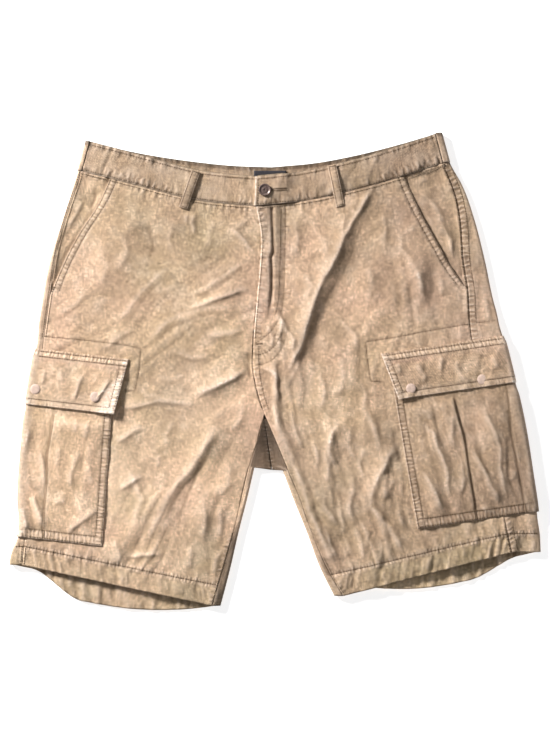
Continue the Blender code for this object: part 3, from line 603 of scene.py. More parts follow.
def level_value(half, inner_y, field):
    """A column of LEVEL at any height of the inner edge."""
    table = list(LEVEL[half].values())[::-1]
    return np.interp(inner_y, [row.inner_y for row in table], [getattr(row, field) for row in table])


# ------------------------------------------------------------------ relief of the body's upper layer
def hem_line(half):
    """The hem's stitch line on the front, in plan."""
    seam, hem = LEVEL[half]["hem_seam"], LEVEL[half]["hem"]
    s = np.linspace(0, 1, 24)
    inner, outer = along(INSEAM[half], seam.inner_y), along(SIDE_SEAM[half], seam.outer_y)
    u = inner + (outer - inner) * s
    y = seam.inner_y + (seam.outer_y - seam.inner_y) * s
    u = np.append(u, np.linspace(outer + 3, float(along(OUTLINE[half], seam.outer_y)) - FOLD, 8))
    y = np.append(y, np.full(8, seam.outer_y))
    return stacked(side_of(half) * u, y + (hem.inner_y - seam.inner_y) * 0.04)


def rippled(run_mm, across_mm, pitch, layer):
    """Uneven ripples about pitch apart along a seam or hem, with sharp valleys, about -1 to 1."""
    wide = 2 * np.abs(noise(run_mm / pitch, across_mm / 60, 0.9, layer)) - 1
    small = 2 * np.abs(noise(run_mm / pitch, across_mm / 40, 0.42, layer + 1)) - 1
    return 0.9 * wide + 0.6 * small + 0.5


def pucker(d, run_mm, pitch, depth, width, layer):
    """Ripples across a seam: d is the distance from it and run_mm how far along."""
    size = 0.8 + 0.5 * noise(run_mm, 0 * d, 2.3 * pitch, layer + 1)
    return 1.3 * depth * rippled(run_mm, d, pitch, layer) * size * bell(d, width)


def seam_relief(line, x, y, depth, pitch, pucker_depth, width, layer):
    """A stitched seam: a groove at the line, and puckers beside it."""
    line = np.asarray(line, float)
    near = within(line, x, y, 30)
    total = np.zeros(np.shape(x))
    if near.any():
        d, share, run = line_fields(line, x[near], y[near])
        inside = ease(share / 0.01) * ease((1 - share) / 0.01)
        ripple = pucker(d, share * run, pitch, pucker_depth, width, layer)
        total[near] = inside * (ripple - depth * bell(d, 1.3))
    return total


def crumple(x, y):
    """The soft crumple of washed cotton."""
    warp = 9 * noise(x, y, 60, 0)
    broad = noise(x + warp, y - warp, 46, 1)
    middle = facets(x - warp, y + 0.6 * warp, 27, 2)
    fine = facets(x + 0.4 * warp, y + 0.4 * warp, 13, 3)
    return 0.55 * broad + 0.3 * middle + 0.16 * fine + 0.07 * noise(x, y, 6, 4)


# How the soft folds run about each place: x, y, reach, heading in degrees from +X, length, width and depth.
DRAPES = [
    (-250, 170, 60, 62, 60, 18, 0.9),
    (-180, 170, 60, 84, 90, 30, 1.0),
    (-90, 180, 55, 100, 70, 24, 0.8),
    (-60, 110, 60, 24, 90, 20, 1.0),
    (-150, 70, 70, 40, 100, 22, 1.1),
    (-260, 70, 50, 30, 80, 20, 0.8),
    (-90, 0, 65, 26, 90, 20, 1.1),
    (-180, -100, 60, 32, 70, 22, 0.9),
    (-100, -110, 60, 58, 110, 18, 1.5),
    (-150, -200, 60, 62, 80, 18, 1.3),
    (-80, -230, 50, 82, 80, 14, 1.1),
    (30, 150, 55, 76, 90, 22, 0.9),
    (130, 160, 55, 72, 100, 26, 1.1),
    (190, 120, 50, 96, 60, 20, 1.3),
    (100, 60, 60, 62, 80, 24, 1.0),
    (270, 140, 50, 96, 60, 14, 1.0),
    (30, -10, 55, 100, 90, 16, 1.3),
    (110, -20, 55, 84, 80, 18, 1.2),
    (40, -120, 60, 110, 150, 15, 1.6),
    (120, -120, 60, 98, 100, 15, 1.6),
    (100, -210, 70, 112, 120, 14, 1.6),
    (-250, -20, 60, 88, 60, 18, 1.0),
    (-260, -120, 70, 78, 90, 18, 1.0),
    (-300, -180, 60, 100, 70, 15, 1.2),
    (210, -10, 60, 84, 50, 16, 1.1),
    (200, -110, 60, 106, 80, 16, 1.4),
    (290, -120, 60, 102, 80, 16, 1.5),
]


def draped(x, y):
    """Long folds with flat sides, each patch of cloth with its own heading."""
    x, y = np.broadcast_arrays(np.asarray(x, float), np.asarray(y, float))
    total, weights = np.zeros(np.shape(x)), np.full(np.shape(x), 1e-9)
    for k, (at_x, at_y, reach, heading, length, width, depth) in enumerate(DRAPES):
        near = np.exp(-((x - at_x) ** 2 + (y - at_y) ** 2) / reach**2)
        here = near > 0.01
        if not here.any():
            continue
        px, py, near = x[here], y[here], near[here]
        turn = math.radians(heading)
        run = (px * math.cos(turn) + py * math.sin(turn)) / length + 5.3 * k
        aside = (py * math.cos(turn) - px * math.sin(turn) + 7 * noise(px, py, 50, k)) / width + 3.1 * k
        creased = facets(run, aside, 1.1, k)
        rolling = noise(run, aside, 1.7, k + 3)
        pleated = 2 * np.abs(noise(0.6 * run, aside, 0.75, k + 5)) - 0.8
        total[here] += near * depth * (0.55 * creased + 0.5 * rolling + 0.5 * pleated)
        weights[here] += near
    return total / weights


def livelier(x, right, left):
    """A size that differs between the garment's right and left, and changes across the fly."""
    return right + (left - right) * ease((x + 45) / 60)


def seam_lines(half):
    """The body's stitched lines on one side, in plan."""
    s, level = side_of(half), LEVEL[half]
    slash_y = np.linspace(level["waist"].outer_y - 1, level["slash"].outer_y + 3, 30)
    slash = along(SLASH[half], slash_y)
    seam_y = np.linspace(level["waist"].seam_y, level["hem"].seam_y, 60)
    inner_y = np.linspace(-55, level["hem"].inner_y, 40)
    return {
        "slash": stacked(s * (slash - 1.5), slash_y),
        "slash_inner": stacked(s * (slash - 9.5), slash_y),
        "side": stacked(s * along(SIDE_SEAM[half], seam_y), seam_y),
        "inseam": stacked(s * along(INSEAM[half], inner_y), inner_y),
        "hem": hem_line(half),
    }


def waist_line():
    x = np.linspace(-262, 232, 90)
    right, left = height_of(WAIST_SEAM["right"], -x), height_of(WAIST_SEAM["left"], x)
    return stacked(x, np.where(x < -20, right, left))


LINES = {half: seam_lines(half) for half in ("right", "left")}
WAIST_LINE = waist_line()
SEAM_FORMS = {  # a groove's depth, and the pitch, depth and width of the puckers beside it
    "slash": (0.4, 7.0, 0.35, 6),
    "slash_inner": (0.5, 7.0, 0.3, 6),
    "side": (0.25, 8.0, 0.35, 8),
    "inseam": (0.4, 8.0, 0.3, 8),
    "hem": (0.6, 9.0, 0.5, 10),
}
STAY = {  # the stitched rectangle that holds each pocket's stay, in plan
    "right": [(-316, 48), (-260, 43), (-200, 36), (-177, 31), (-180, 0), (-185, -25), (-200, -25)],
    "left": [(302, 69), (265, 65), (200, 54), (160, 46), (119, 40), (122, 18), (126, -12), (142, -13)],
}
FLY_STITCH = [(14, 217), (13.5, 180), (12, 120), (11, 96), (7, 76), (-2, 58), (-14, 46), (-27, 38)]
CROTCH_CURVE = [(-27, 21), (-10, 27), (2, 38), (8, 52)]
CROTCH_CURVE_LOW = [(-19, 9), (-4, 16), (8, 30), (14, 44)]


def body_relief(half, x, y):
    """How far the body's upper layer stands from the CAD's form at a place in plan."""
    u = side_of(half) * x
    covered = under_patch(half, u, y)
    total = livelier(x, 1.05, 1.35) * creases(BODY_CREASES, x, y)
    total = total + livelier(x, 0.95, 1.3) * draped(x, y)
    total = total + livelier(x, 0.8, 1.0 + 0.5 * ease((-40 - y) / 60)) * crumple(x, y)
    waist = height_of(WAIST_SEAM[half], u)
    total = total * (0.25 + 0.75 * ease((waist - y - 4) / 14))
    calm_side = 0.35 + 0.65 * ease((fold_start(half, y) - u) / 14)
    total = total * calm_side * (1 - 0.85 * covered) * (1 - 0.55 * ease(below_hem(half, u, y) / 6))
    total += seam_relief(WAIST_LINE, x, y, 0.0, 9, 0.6, 12, 1) * ease(np.abs(waist - y) / 4)
    total += 0.7 * np.exp(-np.abs(waist - y) / 9)
    for name, form in SEAM_FORMS.items():
        shown = {"hem": 1.0, "inseam": inseam_shown(half, y)}.get(name, 1 - covered)
        total += shown * seam_relief(LINES[half][name], x, y, *form, 3)
    total += seam_relief(STAY[half], x, y, 0.5, 9, 0.25, 6, 5) * (1 - covered)
    return total + hem_ripple(half, x, y) + fly_relief(x, y)


def below_hem(half, u, y):
    """How far a place lies below the front hem's stitches."""
    line = LINES[half]["hem"]
    return np.interp(u, side_of(half) * line[:, 0], line[:, 1]) - y


def hem_ripple(half, x, y):
    """The roped hem: uneven upright ripples between the hem's stitches and its edge."""
    u = side_of(half) * x
    under = below_hem(half, u, y)
    band = ease(under / 5) * ease((60 - under) / 10)
    size = 0.85 + 0.5 * noise(u, 0 * x, 40, 7)
    return band * size * livelier(x, 0.85, 1.25) * rippled(u + 0.15 * under, under, 11.5, 6)


def fly_relief(x, y):
    """The placket: a deep trough, the ripple of its stitches, and the curve at its foot."""
    inside = ease((y - 60) / 20)
    d, share, run = line_fields(FLY_TROUGH, x, y)
    trough = -2.6 * bell(d, 2.2) * ease(share / 0.02) * ease((1 - share) / 0.2)
    d, share, run = line_fields(smooth_line(FLY_STITCH), x, y)
    placket = pucker(d, share * run, 8, 0.3, 7, 4) - 0.5 * bell(d, 1.2)
    edge = x - along(CENTRE_FRONT, y)
    ripple = (pucker(edge - 5, y, 10, 0.6, 7, 5) + pucker(edge - 24, y, 8, 0.5, 7, 2)) * inside
    curve = seam_relief(smooth_line(CROTCH_CURVE), x, y, 0.6, 8, 0.3, 6, 5)
    low = seam_relief(smooth_line(CROTCH_CURVE_LOW), x, y, 0.5, 8, 0.3, 6, 6)
    return trough + placket * ease((x + 60) / 10) * ease((70 - x) / 10) + ripple + curve + low


# ------------------------------------------------------------------ meshes
def blurred(z, times=4):
    for _ in range(times):
        z = np.pad(z, 1, mode="edge")
        z = (z[:-2] + z[1:-1] + z[2:]) / 3
        z = (z[:, :-2] + z[:, 1:-1] + z[:, 2:]) / 3
    return z


def with_cavity_shading(points, tint):
    """Tints with painted shade in hollows and painted highlight on ridges."""
    z = points[..., 2]
    proud, swell = z - blurred(z), blurred(z) - blurred(z, 26)
    tint = np.array(tint)
    tint[..., 0] += 0.5 * np.clip(proud, 0, 0.8) + 0.16 * np.clip(swell, 0, 1.2)
    tint[..., 1] += 0.6 * np.clip(-proud, 0, 0.8) + 0.2 * np.clip(-swell, 0, 1.2)
    tint[..., :2] = np.clip(tint[..., :2], 0, 1)
    return tint


def linked(name, data):
    """A new object in the scene."""
    made = bpy.data.objects.new(name, data)
    bpy.context.scene.collection.objects.link(made)
    return made


def smooth(mesh):
    mesh.polygons.foreach_set("use_smooth", np.ones(len(mesh.polygons), bool))


def grid_faces(n, m, base):
    index = base + np.arange(n * m).reshape(n, m)
    return stacked(index[:-1, :-1], index[:-1, 1:], index[1:, 1:], index[1:, :-1]).reshape(-1, 4)


def quad_mesh(name, verts, faces):
    mesh = bpy.data.meshes.new(name)
    mesh.vertices.add(len(verts))
    mesh.vertices.foreach_set("co", verts.ravel())
    mesh.loops.add(len(faces) * 4)
    mesh.loops.foreach_set("vertex_index", faces.ravel())
    mesh.polygons.add(len(faces))
    mesh.polygons.foreach_set("loop_start", np.arange(0, len(faces) * 4, 4))
    mesh.update(calc_edges=True)
    return mesh


def mesh_object(name, grids, wall):
    """A shell from grids of (points, uv, tint, seam).

    tint is (wear and painted highlight, grime and painted shade, tone, brightness) at each point, and seam
    (strength, phase) of the puckers there.
    """
    verts, faces, uvs, tints, seams = [], [], [], [], []
    base = 0
    for points, uv, tint, seam in grids:
        n, m = points.shape[:2]
        verts.append(points.reshape(-1, 3))
        faces.append(grid_faces(n, m, base))
        uvs.append(np.broadcast_to(uv, (n, m, 2)).reshape(-1, 2))
        # painted shade in hollows and painted highlight on ridges
        tints.append(with_cavity_shading(points, tint).reshape(-1, 4))
        seams.append(seam.reshape(-1, 2))
        base += n * m
    faces = np.concatenate(faces)
    mesh = quad_mesh(name, np.concatenate(verts) * MM, faces)
    uvs = np.concatenate(uvs) * MM
    mesh.uv_layers.new(name="cut").data.foreach_set("uv", uvs[faces.ravel()].ravel())
    colour = mesh.color_attributes.new("tint", "FLOAT_COLOR", "POINT")
    colour.data.foreach_set("color", np.concatenate(tints).ravel())
    ladder = mesh.attributes.new("seam", "FLOAT2", "POINT")
    ladder.data.foreach_set("vector", np.concatenate(seams).ravel())
    mesh.validate()
    smooth(mesh)
    made = linked(name, mesh)
    if len(grids) > 1:
        weld = made.modifiers.new("weld", "WELD")
        weld.merge_threshold = 0.02 * MM
    solid = made.modifiers.new("wall", "SOLIDIFY")
    solid.thickness, solid.offset = wall * MM, 0
    return made


def plain_object(name, verts, faces):
    """An object from points in millimetres and faces."""
    mesh = bpy.data.meshes.new(name)
    mesh.from_pydata((np.asarray(verts) * MM).tolist(), [], faces)
    smooth(mesh)
    return linked(name, mesh)


# ------------------------------------------------------------------ tints
def near_line(line, x, y, width):
    """1 on a line, falling off over width."""
    return bell(line_fields(line, x, y)[0], width)


Ladder = namedtuple("Ladder", "line side low high pitch strength")


def ladders(table, x, y):
    """(strength, phase) of the puckers at each place. A ladder lies from low to high mm beside its line."""
    strength, phase = np.zeros(np.shape(x)), np.zeros(np.shape(x))
    for rung in table:
        d, share, run = line_fields(rung.line, x, y)
        off = d * rung.side
        here = rung.strength * ease((off - rung.low) / 1.5 + 0.5) * ease((rung.high - off) / 1.5 + 0.5)
        here = here * ease(share / 0.01) * ease((1 - share) / 0.01)
        phase = np.where(here > strength, share * run / rung.pitch, phase)
        strength = np.maximum(here, strength)
    return stacked(strength, phase)


def body_ladders(half, x, y):
    """The ladders on one half's fronts and facings. Left of a line that runs down is towards +X."""
    s, line = side_of(half), LINES[half]
    u = s * x
    bare = 1 - under_patch(half, u, y)
    table = [
        Ladder(line["slash"], -s, 0.0, 8.5, 6.0, 1.0),
        Ladder(line["side"], -s, -8.0, 3.0, 6.5, 0.45 if half == "right" else 1.3),
        Ladder(line["inseam"], s, 0.0, 7.0, 7.0, inseam_shown(half, y)),
        Ladder(line["inseam"], -s, 0.0, 16.0, 5.5, 1.2 * inseam_shown(half, y)),
        Ladder(line["hem"], 1.0, -4.5, 4.5, 4.6, 0.9),
        Ladder(np.asarray(STAY[half], float), 1.0, -3.0, 3.0, 6.0, 0.5),
        Ladder(WAIST_LINE, 1.0, -8.0, 0.0, 8.0, 0.7),
    ]
    if half == "left":
        table += [
            Ladder(smooth_line(FLY_STITCH), 1.0, -4.0, 9.0, 8.0, 0.6),
            Ladder(smooth_line(CROTCH_CURVE), 1.0, -6.0, 6.0, 5.5, 0.8),
        ]
    table.append(Ladder(smooth_line([(u, y) for y, u in CENTRE_FRONT]), 1.0, -2.0, 10.0, 7.0, 0.9))
    found = ladders(table, x, y)
    near_hem = ladders(table[4:5], x, y)[..., 0]
    found[..., 0] *= np.maximum(bare, near_hem > 0.05)
    return found


def inseam_shown(half, y):
    """The inseam is turned under, and shows only near the hem."""
    return ease((-196 - y) / 30) if half == "right" else 0.15 + 0.5 * ease((-232 - y) / 14)


WASH_AND_PAINTED_SHADE = [  # where the cloth is painted paler or darker, partly washed-out patches and partly painted shade and light beside folds, creases and the fly: x, y, reach and gain
    (-150, 160, 75, -0.12), (-180, -140, 80, 0.2), (-90, -150, 60, 0.16), (80, 0, 70, 0.18),
    (-190, -275, 70, 0.14), (-60, 60, 50, 0.08), (185, 120, 40, -0.06), (30, 160, 45, 0.06),
    (105, -150, 40, 0.05), (-110, -20, 60, 0.06), (190, 236, 42, -0.2), (16, 165, 28, -0.2),
    (172, 190, 28, -0.1), (-125, 196, 34, -0.18), (-32, -45, 34, 0.26), (-62, -165, 32, 0.24),
    (-45, 36, 30, 0.2), (93, -58, 28, 0.24), (102, 106, 24, 0.2), (134, 74, 26, 0.16),
    (-204, -205, 24, 0.2), (-342, -242, 24, 0.45), (-182, -40, 20, 0.15), (52, -170, 26, -0.12),
    (172, -44, 24, -0.14), (172, -123, 22, -0.1), (133, 234, 24, -0.1), (158, -92, 16, -0.2),
    (14, 190, 14, -0.2), (56, -215, 22, -0.14), (14, -4, 16, -0.18), (38, 158, 15, 0.16),
    (86, 160, 11, -0.18), (118, 204, 10, -0.12),
]


def faded_and_shaded(x, y):
    return 1 + sum(gain * bell(np.hypot(x - fx, y - fy), reach) for fx, fy, reach, gain in WASH_AND_PAINTED_SHADE)


def outer_shade(half, u, y):
    """Painted shade: the cloth's outermost fold is painted a little darker on the right, where it faces the
    light.
    """
    share = 0.28 if half == "right" else 0.0
    return 1 - share * ease((u - fold_start(half, y) + 9) / 10)


def seam_tint(half, x, y, rough, bare):
    """Wear and grime along the body's stitched lines."""
    wear_and_highlight, grime_and_shade = np.zeros((2,) + np.shape(x))
    for name, line in LINES[half].items():
        shown = {"side": 0.45 if half == "right" else 1.0, "inseam": inseam_shown(half, y)}.get(name, 1.0)
        worn = 0.1 if (name, half) == ("side", "left") else 0.3
        wear_and_highlight += worn * rough * shown * near_line(line, x, y, 3.6)
        grime_and_shade += 0.6 * shown * near_line(line, x, y, 1.6)
    grime_and_shade += 0.45 * near_line(STAY[half], x, y, 1.3)
    if half == "left":
        d = line_fields(LINES[half]["side"], x, y)[0]
        grime_and_shade += 0.72 * rough * ease((d + 4) / 3) * ease((10 - d) / 3) * bare
    return wear_and_highlight, grime_and_shade


def body_tint(half, x, y):
    """(wear and painted highlight, grime and painted shade, tone, brightness) of the body cloth at a place in
    plan; the brightness holds painted shade and light too.
    """
    u = side_of(half) * x
    bare = 1 - under_patch(half, u, y)
    rough = 0.65 + 0.5 * noise(x, y, 9, 5)
    _, ridge_highlight, foot_shade = crease_fields(BODY_CREASES, x, y)
    wear_and_highlight, grime_and_shade = seam_tint(half, x, y, rough, bare)
    placket = ease((y - 62) / 16) * ease((x - along(CENTRE_FRONT, y)) / 3) * ease((-2 - x) / 3)
    # painted highlight on the creases' crests, and real wear on the placket and in patches
    wear_and_highlight = wear_and_highlight + 0.4 * ridge_highlight * bare + 0.35 * placket * rough + 0.2 * ease(noise(x, y, 120, 7) - 0.1)
    # painted shade at the creases' feet and in the fly's trough
    grime_and_shade = grime_and_shade + 0.72 * foot_shade * bare + 0.85 * near_line(FLY_TROUGH, x, y, 2.4) * ease((y - 60) / 20)
    below = ease(below_hem(half, u, y) / 8)
    # painted shade in the band beside the fly's trough
    beside = ease((y - 66) / 14) * ease((x + 2) / 2) * ease((12 - x) / 3)
    tone = 0.55 * below - 0.3 * placket + 0.5 * noise(x, y, 90, 6) + 0.35 * noise(x, y, 38, 5)
    bright = 1.0 + 0.09 * noise(x, y, 52, 1) + 0.06 * noise(x, y, 23, 2)
    bright = bright - 0.08 * below - 0.3 * beside - 0.15 * placket
    # painted shade on the right's outer fold, and patches painted paler and darker, many of them painted
    # shade and light beside folds
    bright = bright * (1.04 - 0.06 * ease((x + 200) / 400)) * outer_shade(half, u, y) * faded_and_shaded(x, y)
    return stacked(np.clip(wear_and_highlight, 0, 1), np.clip(grime_and_shade, 0, 1), 0.5 + 0.5 * np.clip(tone, -1, 1), bright)


def tinted(x, y, wear_and_highlight=0.1, grime_and_shade=0.0, tone=0.5, bright=1.0):
    """Tints from four plain values or arrays."""
    soft = tone + 0.1 * noise(x, y, 60, 6)
    return stacked(np.clip(wear_and_highlight, 0, 1), np.clip(grime_and_shade, 0, 1), soft, bright + 0 * x + 0 * y)


# ------------------------------------------------------------------ body panels
STEP = 1.85  # between the rows of a front
FRONT_COLUMNS = 152
STRIP_COLUMNS = 15  # from the side seam to the fold
TURN_COLUMNS = 9  # round a fold
UNDER_COLUMNS = 110
WEB_COLUMNS = 13
BODY_ROWS = 140
LEG_ROWS = 84
INSEAM_COLUMNS = 5


def front_grid(half):
    """u and y of a front panel's points, whose rows run from its inner edge to the slash or the side seam."""
    level = LEVEL[half]
    top, foot = level["waist"].inner_y, level["hem"].inner_y
    inner_y = np.linspace(top, foot, int((top - foot) / STEP))[:, None]
    s = np.linspace(0, 1, FRONT_COLUMNS)[None, :]
    outer_y = level_value(half, inner_y, "outer_y")
    inner = inner_edge(half, inner_y)
    on_slash = outer_y >= level["slash"].outer_y
    outer = np.where(on_slash, along(SLASH[half], outer_y), along(SIDE_SEAM[half], outer_y))
    waist_in, waist_out = float(inner_edge(half, top)), float(along(SLASH[half], level["waist"].outer_y))
    waist = height_of(WAIST_SEAM[half], waist_in + (waist_out - waist_in) * s)
    bow = waist - (waist[:, :1] + (waist[:, -1:] - waist[:, :1]) * s)
    y = inner_y + (outer_y - inner_y) * s + level_value(half, inner_y, "bow") * bow
    return inner + (outer - inner) * s, y


def front_surface(half, u, y):
    """A front's upper face. The left one rises onto the right one's underlap at the fly."""
    points = cloth_point(half, u, y, body_relief(half, side_of(half) * u, y))
    if half == "left":
        points[..., 2] += (CLOTH + GAP) * ease((15 - u) / 20) * ease((y - 50) / 16)
    return points


def front(half):
    """A front panel, its left edge rubbed at the fly. The right one goes on below the left one."""
    u, y = front_grid(half)
    right = half == "right"
    if right:  # the underlap, below the fly's edge
        under = FLY_UNDERLAP * ease((y[:, :1] - 88) / 14)
        u = np.concatenate([u[:, :1] - under, u[:, :1] - under / 2, u], axis=1)
        y = np.concatenate([y[:, :1], y[:, :1], y], axis=1)
    u[:, 0] += GAP / 2
    u[:, -1] -= GAP / 2
    points = front_surface(half, u, y)
    x = side_of(half) * u
    past_fly = x - along(CENTRE_FRONT, y)
    if right:
        z, plain_z = points[..., 2], cloth_point(half, u, y)[..., 2]
        points[..., 2] = np.where(past_fly > 0, np.minimum(z, plain_z), z)
    tint = body_tint(half, x, y)
    tint[0, :, 0] = 0.0  # the edge under the waistband lies in shade
    tint[0, :, 3] *= 0.5
    if not right:
        rub = ease((y - 30) / 30) * bell(past_fly, 1.6) * (0.75 + 0.4 * noise(u, y, 7, 5))
        tint[..., 0] = np.clip(tint[..., 0] + 1.1 * rub, 0, 1)
    grid = (points, stacked(u, y), tint, body_ladders(half, x, y))
    return mesh_object(f"front_panel_{half}", [grid], SHELL)


def hang(half, share):
    """How far the hem of a back hangs below its row at a share of its width, 0 to 1."""
    waning = np.clip((share - HANG_WANES) / (HANG_END[half] - HANG_WANES), 0, 1)
    return ease((share - HANG_SHARE) / (HANG_FULL - HANG_SHARE)) * (1 - waning**2)


def back_rows_y(half, inner_y):
    """Where the rows of a back's upper part end: at the web, and at the seat seam."""
    top, foot = LEVEL[half]["waist"].inner_y, LEVEL[half]["web"].inner_y
    waist = BACK_WAIST_SEAM[half][0][0]
    share = (top - inner_y) / (top - foot)
    return waist + (foot - waist) * share, waist + (SEAT_FOOT_Y - waist) * share


def outer_part(half, row_y, inner, centre):
    """u and y of a back panel's rows: from the side seam round the fold to inner, and on to the seat seam."""
    seam_y = level_value(half, row_y, "seam_y")
    seam = along(SIDE_SEAM[half], seam_y) + GAP / 2
    start = fold_start(half, seam_y)
    strip = seam + (start - seam) * np.linspace(0, 1, STRIP_COLUMNS)[None, :-1]
    turn = start + FOLD * np.linspace(0, math.pi, TURN_COLUMNS)[None, :]
    flat = start + (inner - start) * np.linspace(0, 1, UNDER_COLUMNS)[None, 1:]
    inner_y, centre_y = row_y, row_y
    if centre is not None:
        middle = inner + (centre - inner) * np.linspace(0, 1, WEB_COLUMNS)[None, 1:]
        flat = np.concatenate([flat, middle + 0 * flat[:, :1]], axis=1)
        inner_y, centre_y = back_rows_y(half, row_y)
    share = (start - flat) / (start - inner)
    flat_y = seam_y + (inner_y - seam_y) * share - level_value(half, row_y, "drop") * hang(half, share)
    if centre is not None:
        past = (inner - flat) / (inner - centre)
        flat_y = np.where(share > 1, inner_y + (centre_y - inner_y) * past, flat_y)
        at_waist = ease((row_y - (LEVEL[half]["waist"].inner_y - 24)) / 24)
        flat_y = flat_y + at_waist * (height_of(BACK_WAIST_SEAM[half], flat) - flat_y)
    u = np.concatenate([strip, turn, turned(half, flat, flat_y)], axis=1)
    return u, np.concatenate([seam_y + 0 * strip, seam_y + 0 * turn, flat_y], axis=1)


def back_surface(half, u, y):
    """A back's outer face: the body's relief on the strip in front, and calm ripples below."""
    start = fold_start(half, y)
    x = side_of(half) * np.minimum(u, start)
    shown = ease((start + 2 - u) / 6)
    under_x = np.minimum(turned(half, u, y), start)
    inside = ease((u - start - math.pi * FOLD) / 10)
    ripple = 0.22 * (noise(under_x, y, 30, 2) - 1) * inside
    relief = np.zeros(np.shape(x))
    seen = shown > 0
    relief[seen] = body_relief(half, x[seen], y[seen]) * shown[seen]
    return cloth_point(half, u, y, relief + ripple)


def back_body(half):
    """The part of a back above the web, out to the seat seam."""
    top, foot = LEVEL[half]["waist"].inner_y, LEVEL[half]["web"].inner_y
    split = float(along(INNER_OUTLINE[half], foot)) + CLOTH / 2 + FOLD
    centre = side_of(half) * CENTRE_BACK + WEB_GAP / 2
    u, y = outer_part(half, np.linspace(top, foot, BODY_ROWS)[:, None], split, centre)
    x = side_of(half) * np.minimum(u, fold_start(half, y))
    return back_surface(half, u, y), stacked(u, y), body_tint(half, x, y), body_ladders(half, x, y)


def inseam_strip(half, inner, leg_y):
    """The strip of a back that turns up beside the inseam, with the body's relief coming in across it."""
    seam = along(INSEAM[half], leg_y) - GAP / 2
    share = np.linspace(0, 1, INSEAM_COLUMNS)[None, 1:]
    u = inner + (seam - inner) * share
    flat = cloth_point(half, u, leg_y)
    creased = cloth_point(half, u, leg_y, body_relief(half, side_of(half) * u, leg_y + 0 * u))
    return flat + (creased - flat) * ease(share * 1.5)[..., None]


def back_leg(half):
    """A back's leg: from the side seam round the fold, across below, and up to the inseam."""
    leg_y = np.linspace(LEVEL[half]["web"].inner_y, LEVEL[half]["hem"].inner_y, LEG_ROWS)[:, None]
    inner = along(INNER_OUTLINE[half], leg_y) + CLOTH / 2 + FOLD
    u, y = outer_part(half, leg_y, inner, None)
    outer = back_surface(half, u, y)
    outer[..., 2] += back_hem(half, u, y, leg_y)
    angles = np.linspace(math.pi, 0, TURN_COLUMNS)[None, :]
    turn = inner_point(half, angles, leg_y + 0 * angles)[:, 1:]
    points = np.concatenate([outer, turn, inseam_strip(half, inner, leg_y)], axis=1)
    past = np.arange(1, points.shape[1] - u.shape[1] + 1)[None, :] * 1.2
    uv = stacked(np.concatenate([u, u[:, -1:] + past], axis=1), np.concatenate([y, leg_y + 0 * past], axis=1))
    return points, uv, *leg_looks(half, points, uv, u.shape[1])


def leg_looks(half, points, uv, outer_columns):
    """Tint and puckers of a back's leg: the inside of its hem shows, with painted shadow under the front hem
    and, on the left, painted light, and it has painted shade beside the inseam.
    """
    x, y = points[..., 0], points[..., 1]
    right = half == "right"
    lining = ease((uv[..., 0] - fold_start(half, uv[..., 1]) - math.pi * FOLD) / 8)
    column = np.arange(uv.shape[1])[None, :]
    turned_in = (column >= outer_columns + 4) * inseam_shown(half, y)
    tint, seam = body_tint(half, x, y), body_ladders(half, x, y)
    tint[..., 0] *= 1 - 0.6 * lining
    # painted shadow of the front hem's edge on the inside of the back hem
    tint[..., 1] += 0.55 * lining * bell(below_hem(half, side_of(half) * x, y) - 29, 2.6)
    # painted shade on the turned-in strip beside the inseam
    tint[..., 1] = np.clip(tint[..., 1] + 0.4 * turned_in, 0, 1)
    # painted light on the left back hem's inside, less towards its outer end
    tint[..., 3] += (0.0 if right else 0.55 - 0.4 * ease((x - 190) / 60)) * lining
    # painted shade on the turned-in strip, and on the leg's inner fold and strip
    tint[..., 3] -= (0.45 if right else 0.1) * turned_in
    tint[..., 3] -= (0.1 if right else 0.5) * (column >= outer_columns)
    seam[..., 0] *= 1 - lining
    return tint, seam


def back(half):
    body, leg = back_body(half), back_leg(half)
    return mesh_object(f"back_panel_{half}", [body, leg, web(half, leg[0][0], body[0][-1])], SHELL)


def back_hem(half, u, y, leg_y):
    """Ripples of the back hem, which shows below the front one."""
    below = ease((LEVEL[half]["hem_seam"].inner_y + 10 - leg_y) / 18)
    inside = ease((u - fold_start(half, y) - math.pi * FOLD) / 12)
    return 1.3 * below * inside * (1 + rippled(turned(half, u, y), y, 10, 4))


def seat_edge(half, foot, top, count):
    """The web's edge at the seat seam: round a bend from the back's foot, and up to the crotch."""
    middle, tall = (foot[2] + WEB_TOP) / 2, (WEB_TOP - foot[2]) / 2
    a = np.linspace(0, math.pi, TURN_COLUMNS)
    bend = stacked(foot[0], foot[1] - 2.4 * np.sin(a), middle - tall * np.cos(a))
    bent = np.array([foot[0], foot[1], WEB_TOP])
    crotch = np.array([CROTCH_X + side_of(half) * WEB_GAP / 2, top[1], top[2]])
    rise = np.linspace(0, 1, count - TURN_COLUMNS + 1)[1:, None]
    return np.concatenate([bend, bent + (crotch - bent) * rise])


def web(half, leg_row, body_row):
    """The part of a back panel that turns up between the legs."""
    rise_y = np.linspace(LEVEL[half]["web"].inner_y, LEVEL[half]["crotch"].inner_y - 7.0, 30)[1:]
    rise = cloth_point(half, along(INSEAM[half], rise_y) - GAP / 2, rise_y)
    edge = np.concatenate([leg_row[1 - TURN_COLUMNS - INSEAM_COLUMNS:], rise])
    seat = seat_edge(half, body_row[-1], edge[-1], len(edge))
    points = edge[:, None] + (seat - edge)[:, None] * np.linspace(0, 1, WEB_COLUMNS)[None, :, None]
    points[0] = body_row[-WEB_COLUMNS:]
    x, y = points[..., 0], points[..., 1]
    low = ease((-80 - y) / 45)
    from_seat = np.abs(x - x[:, -1:])
    rows = bell(from_seat - 1.2, 1.0) + bell(from_seat - 6.0, 1.0) + bell(y + 93, 1.2)
    # painted shade: the web between the legs is painted dark and a little lighter towards its foot, with the
    # seat seam's stitched rows darker still
    tint = tinted(x, y, 0.05, 0.8 - 0.35 * low + 0.5 * rows, 0.3, 0.3 + 0.24 * low)
    return points, points[..., :2], tint, stacked(0.9 * bell(from_seat, 6), y / 4.6)


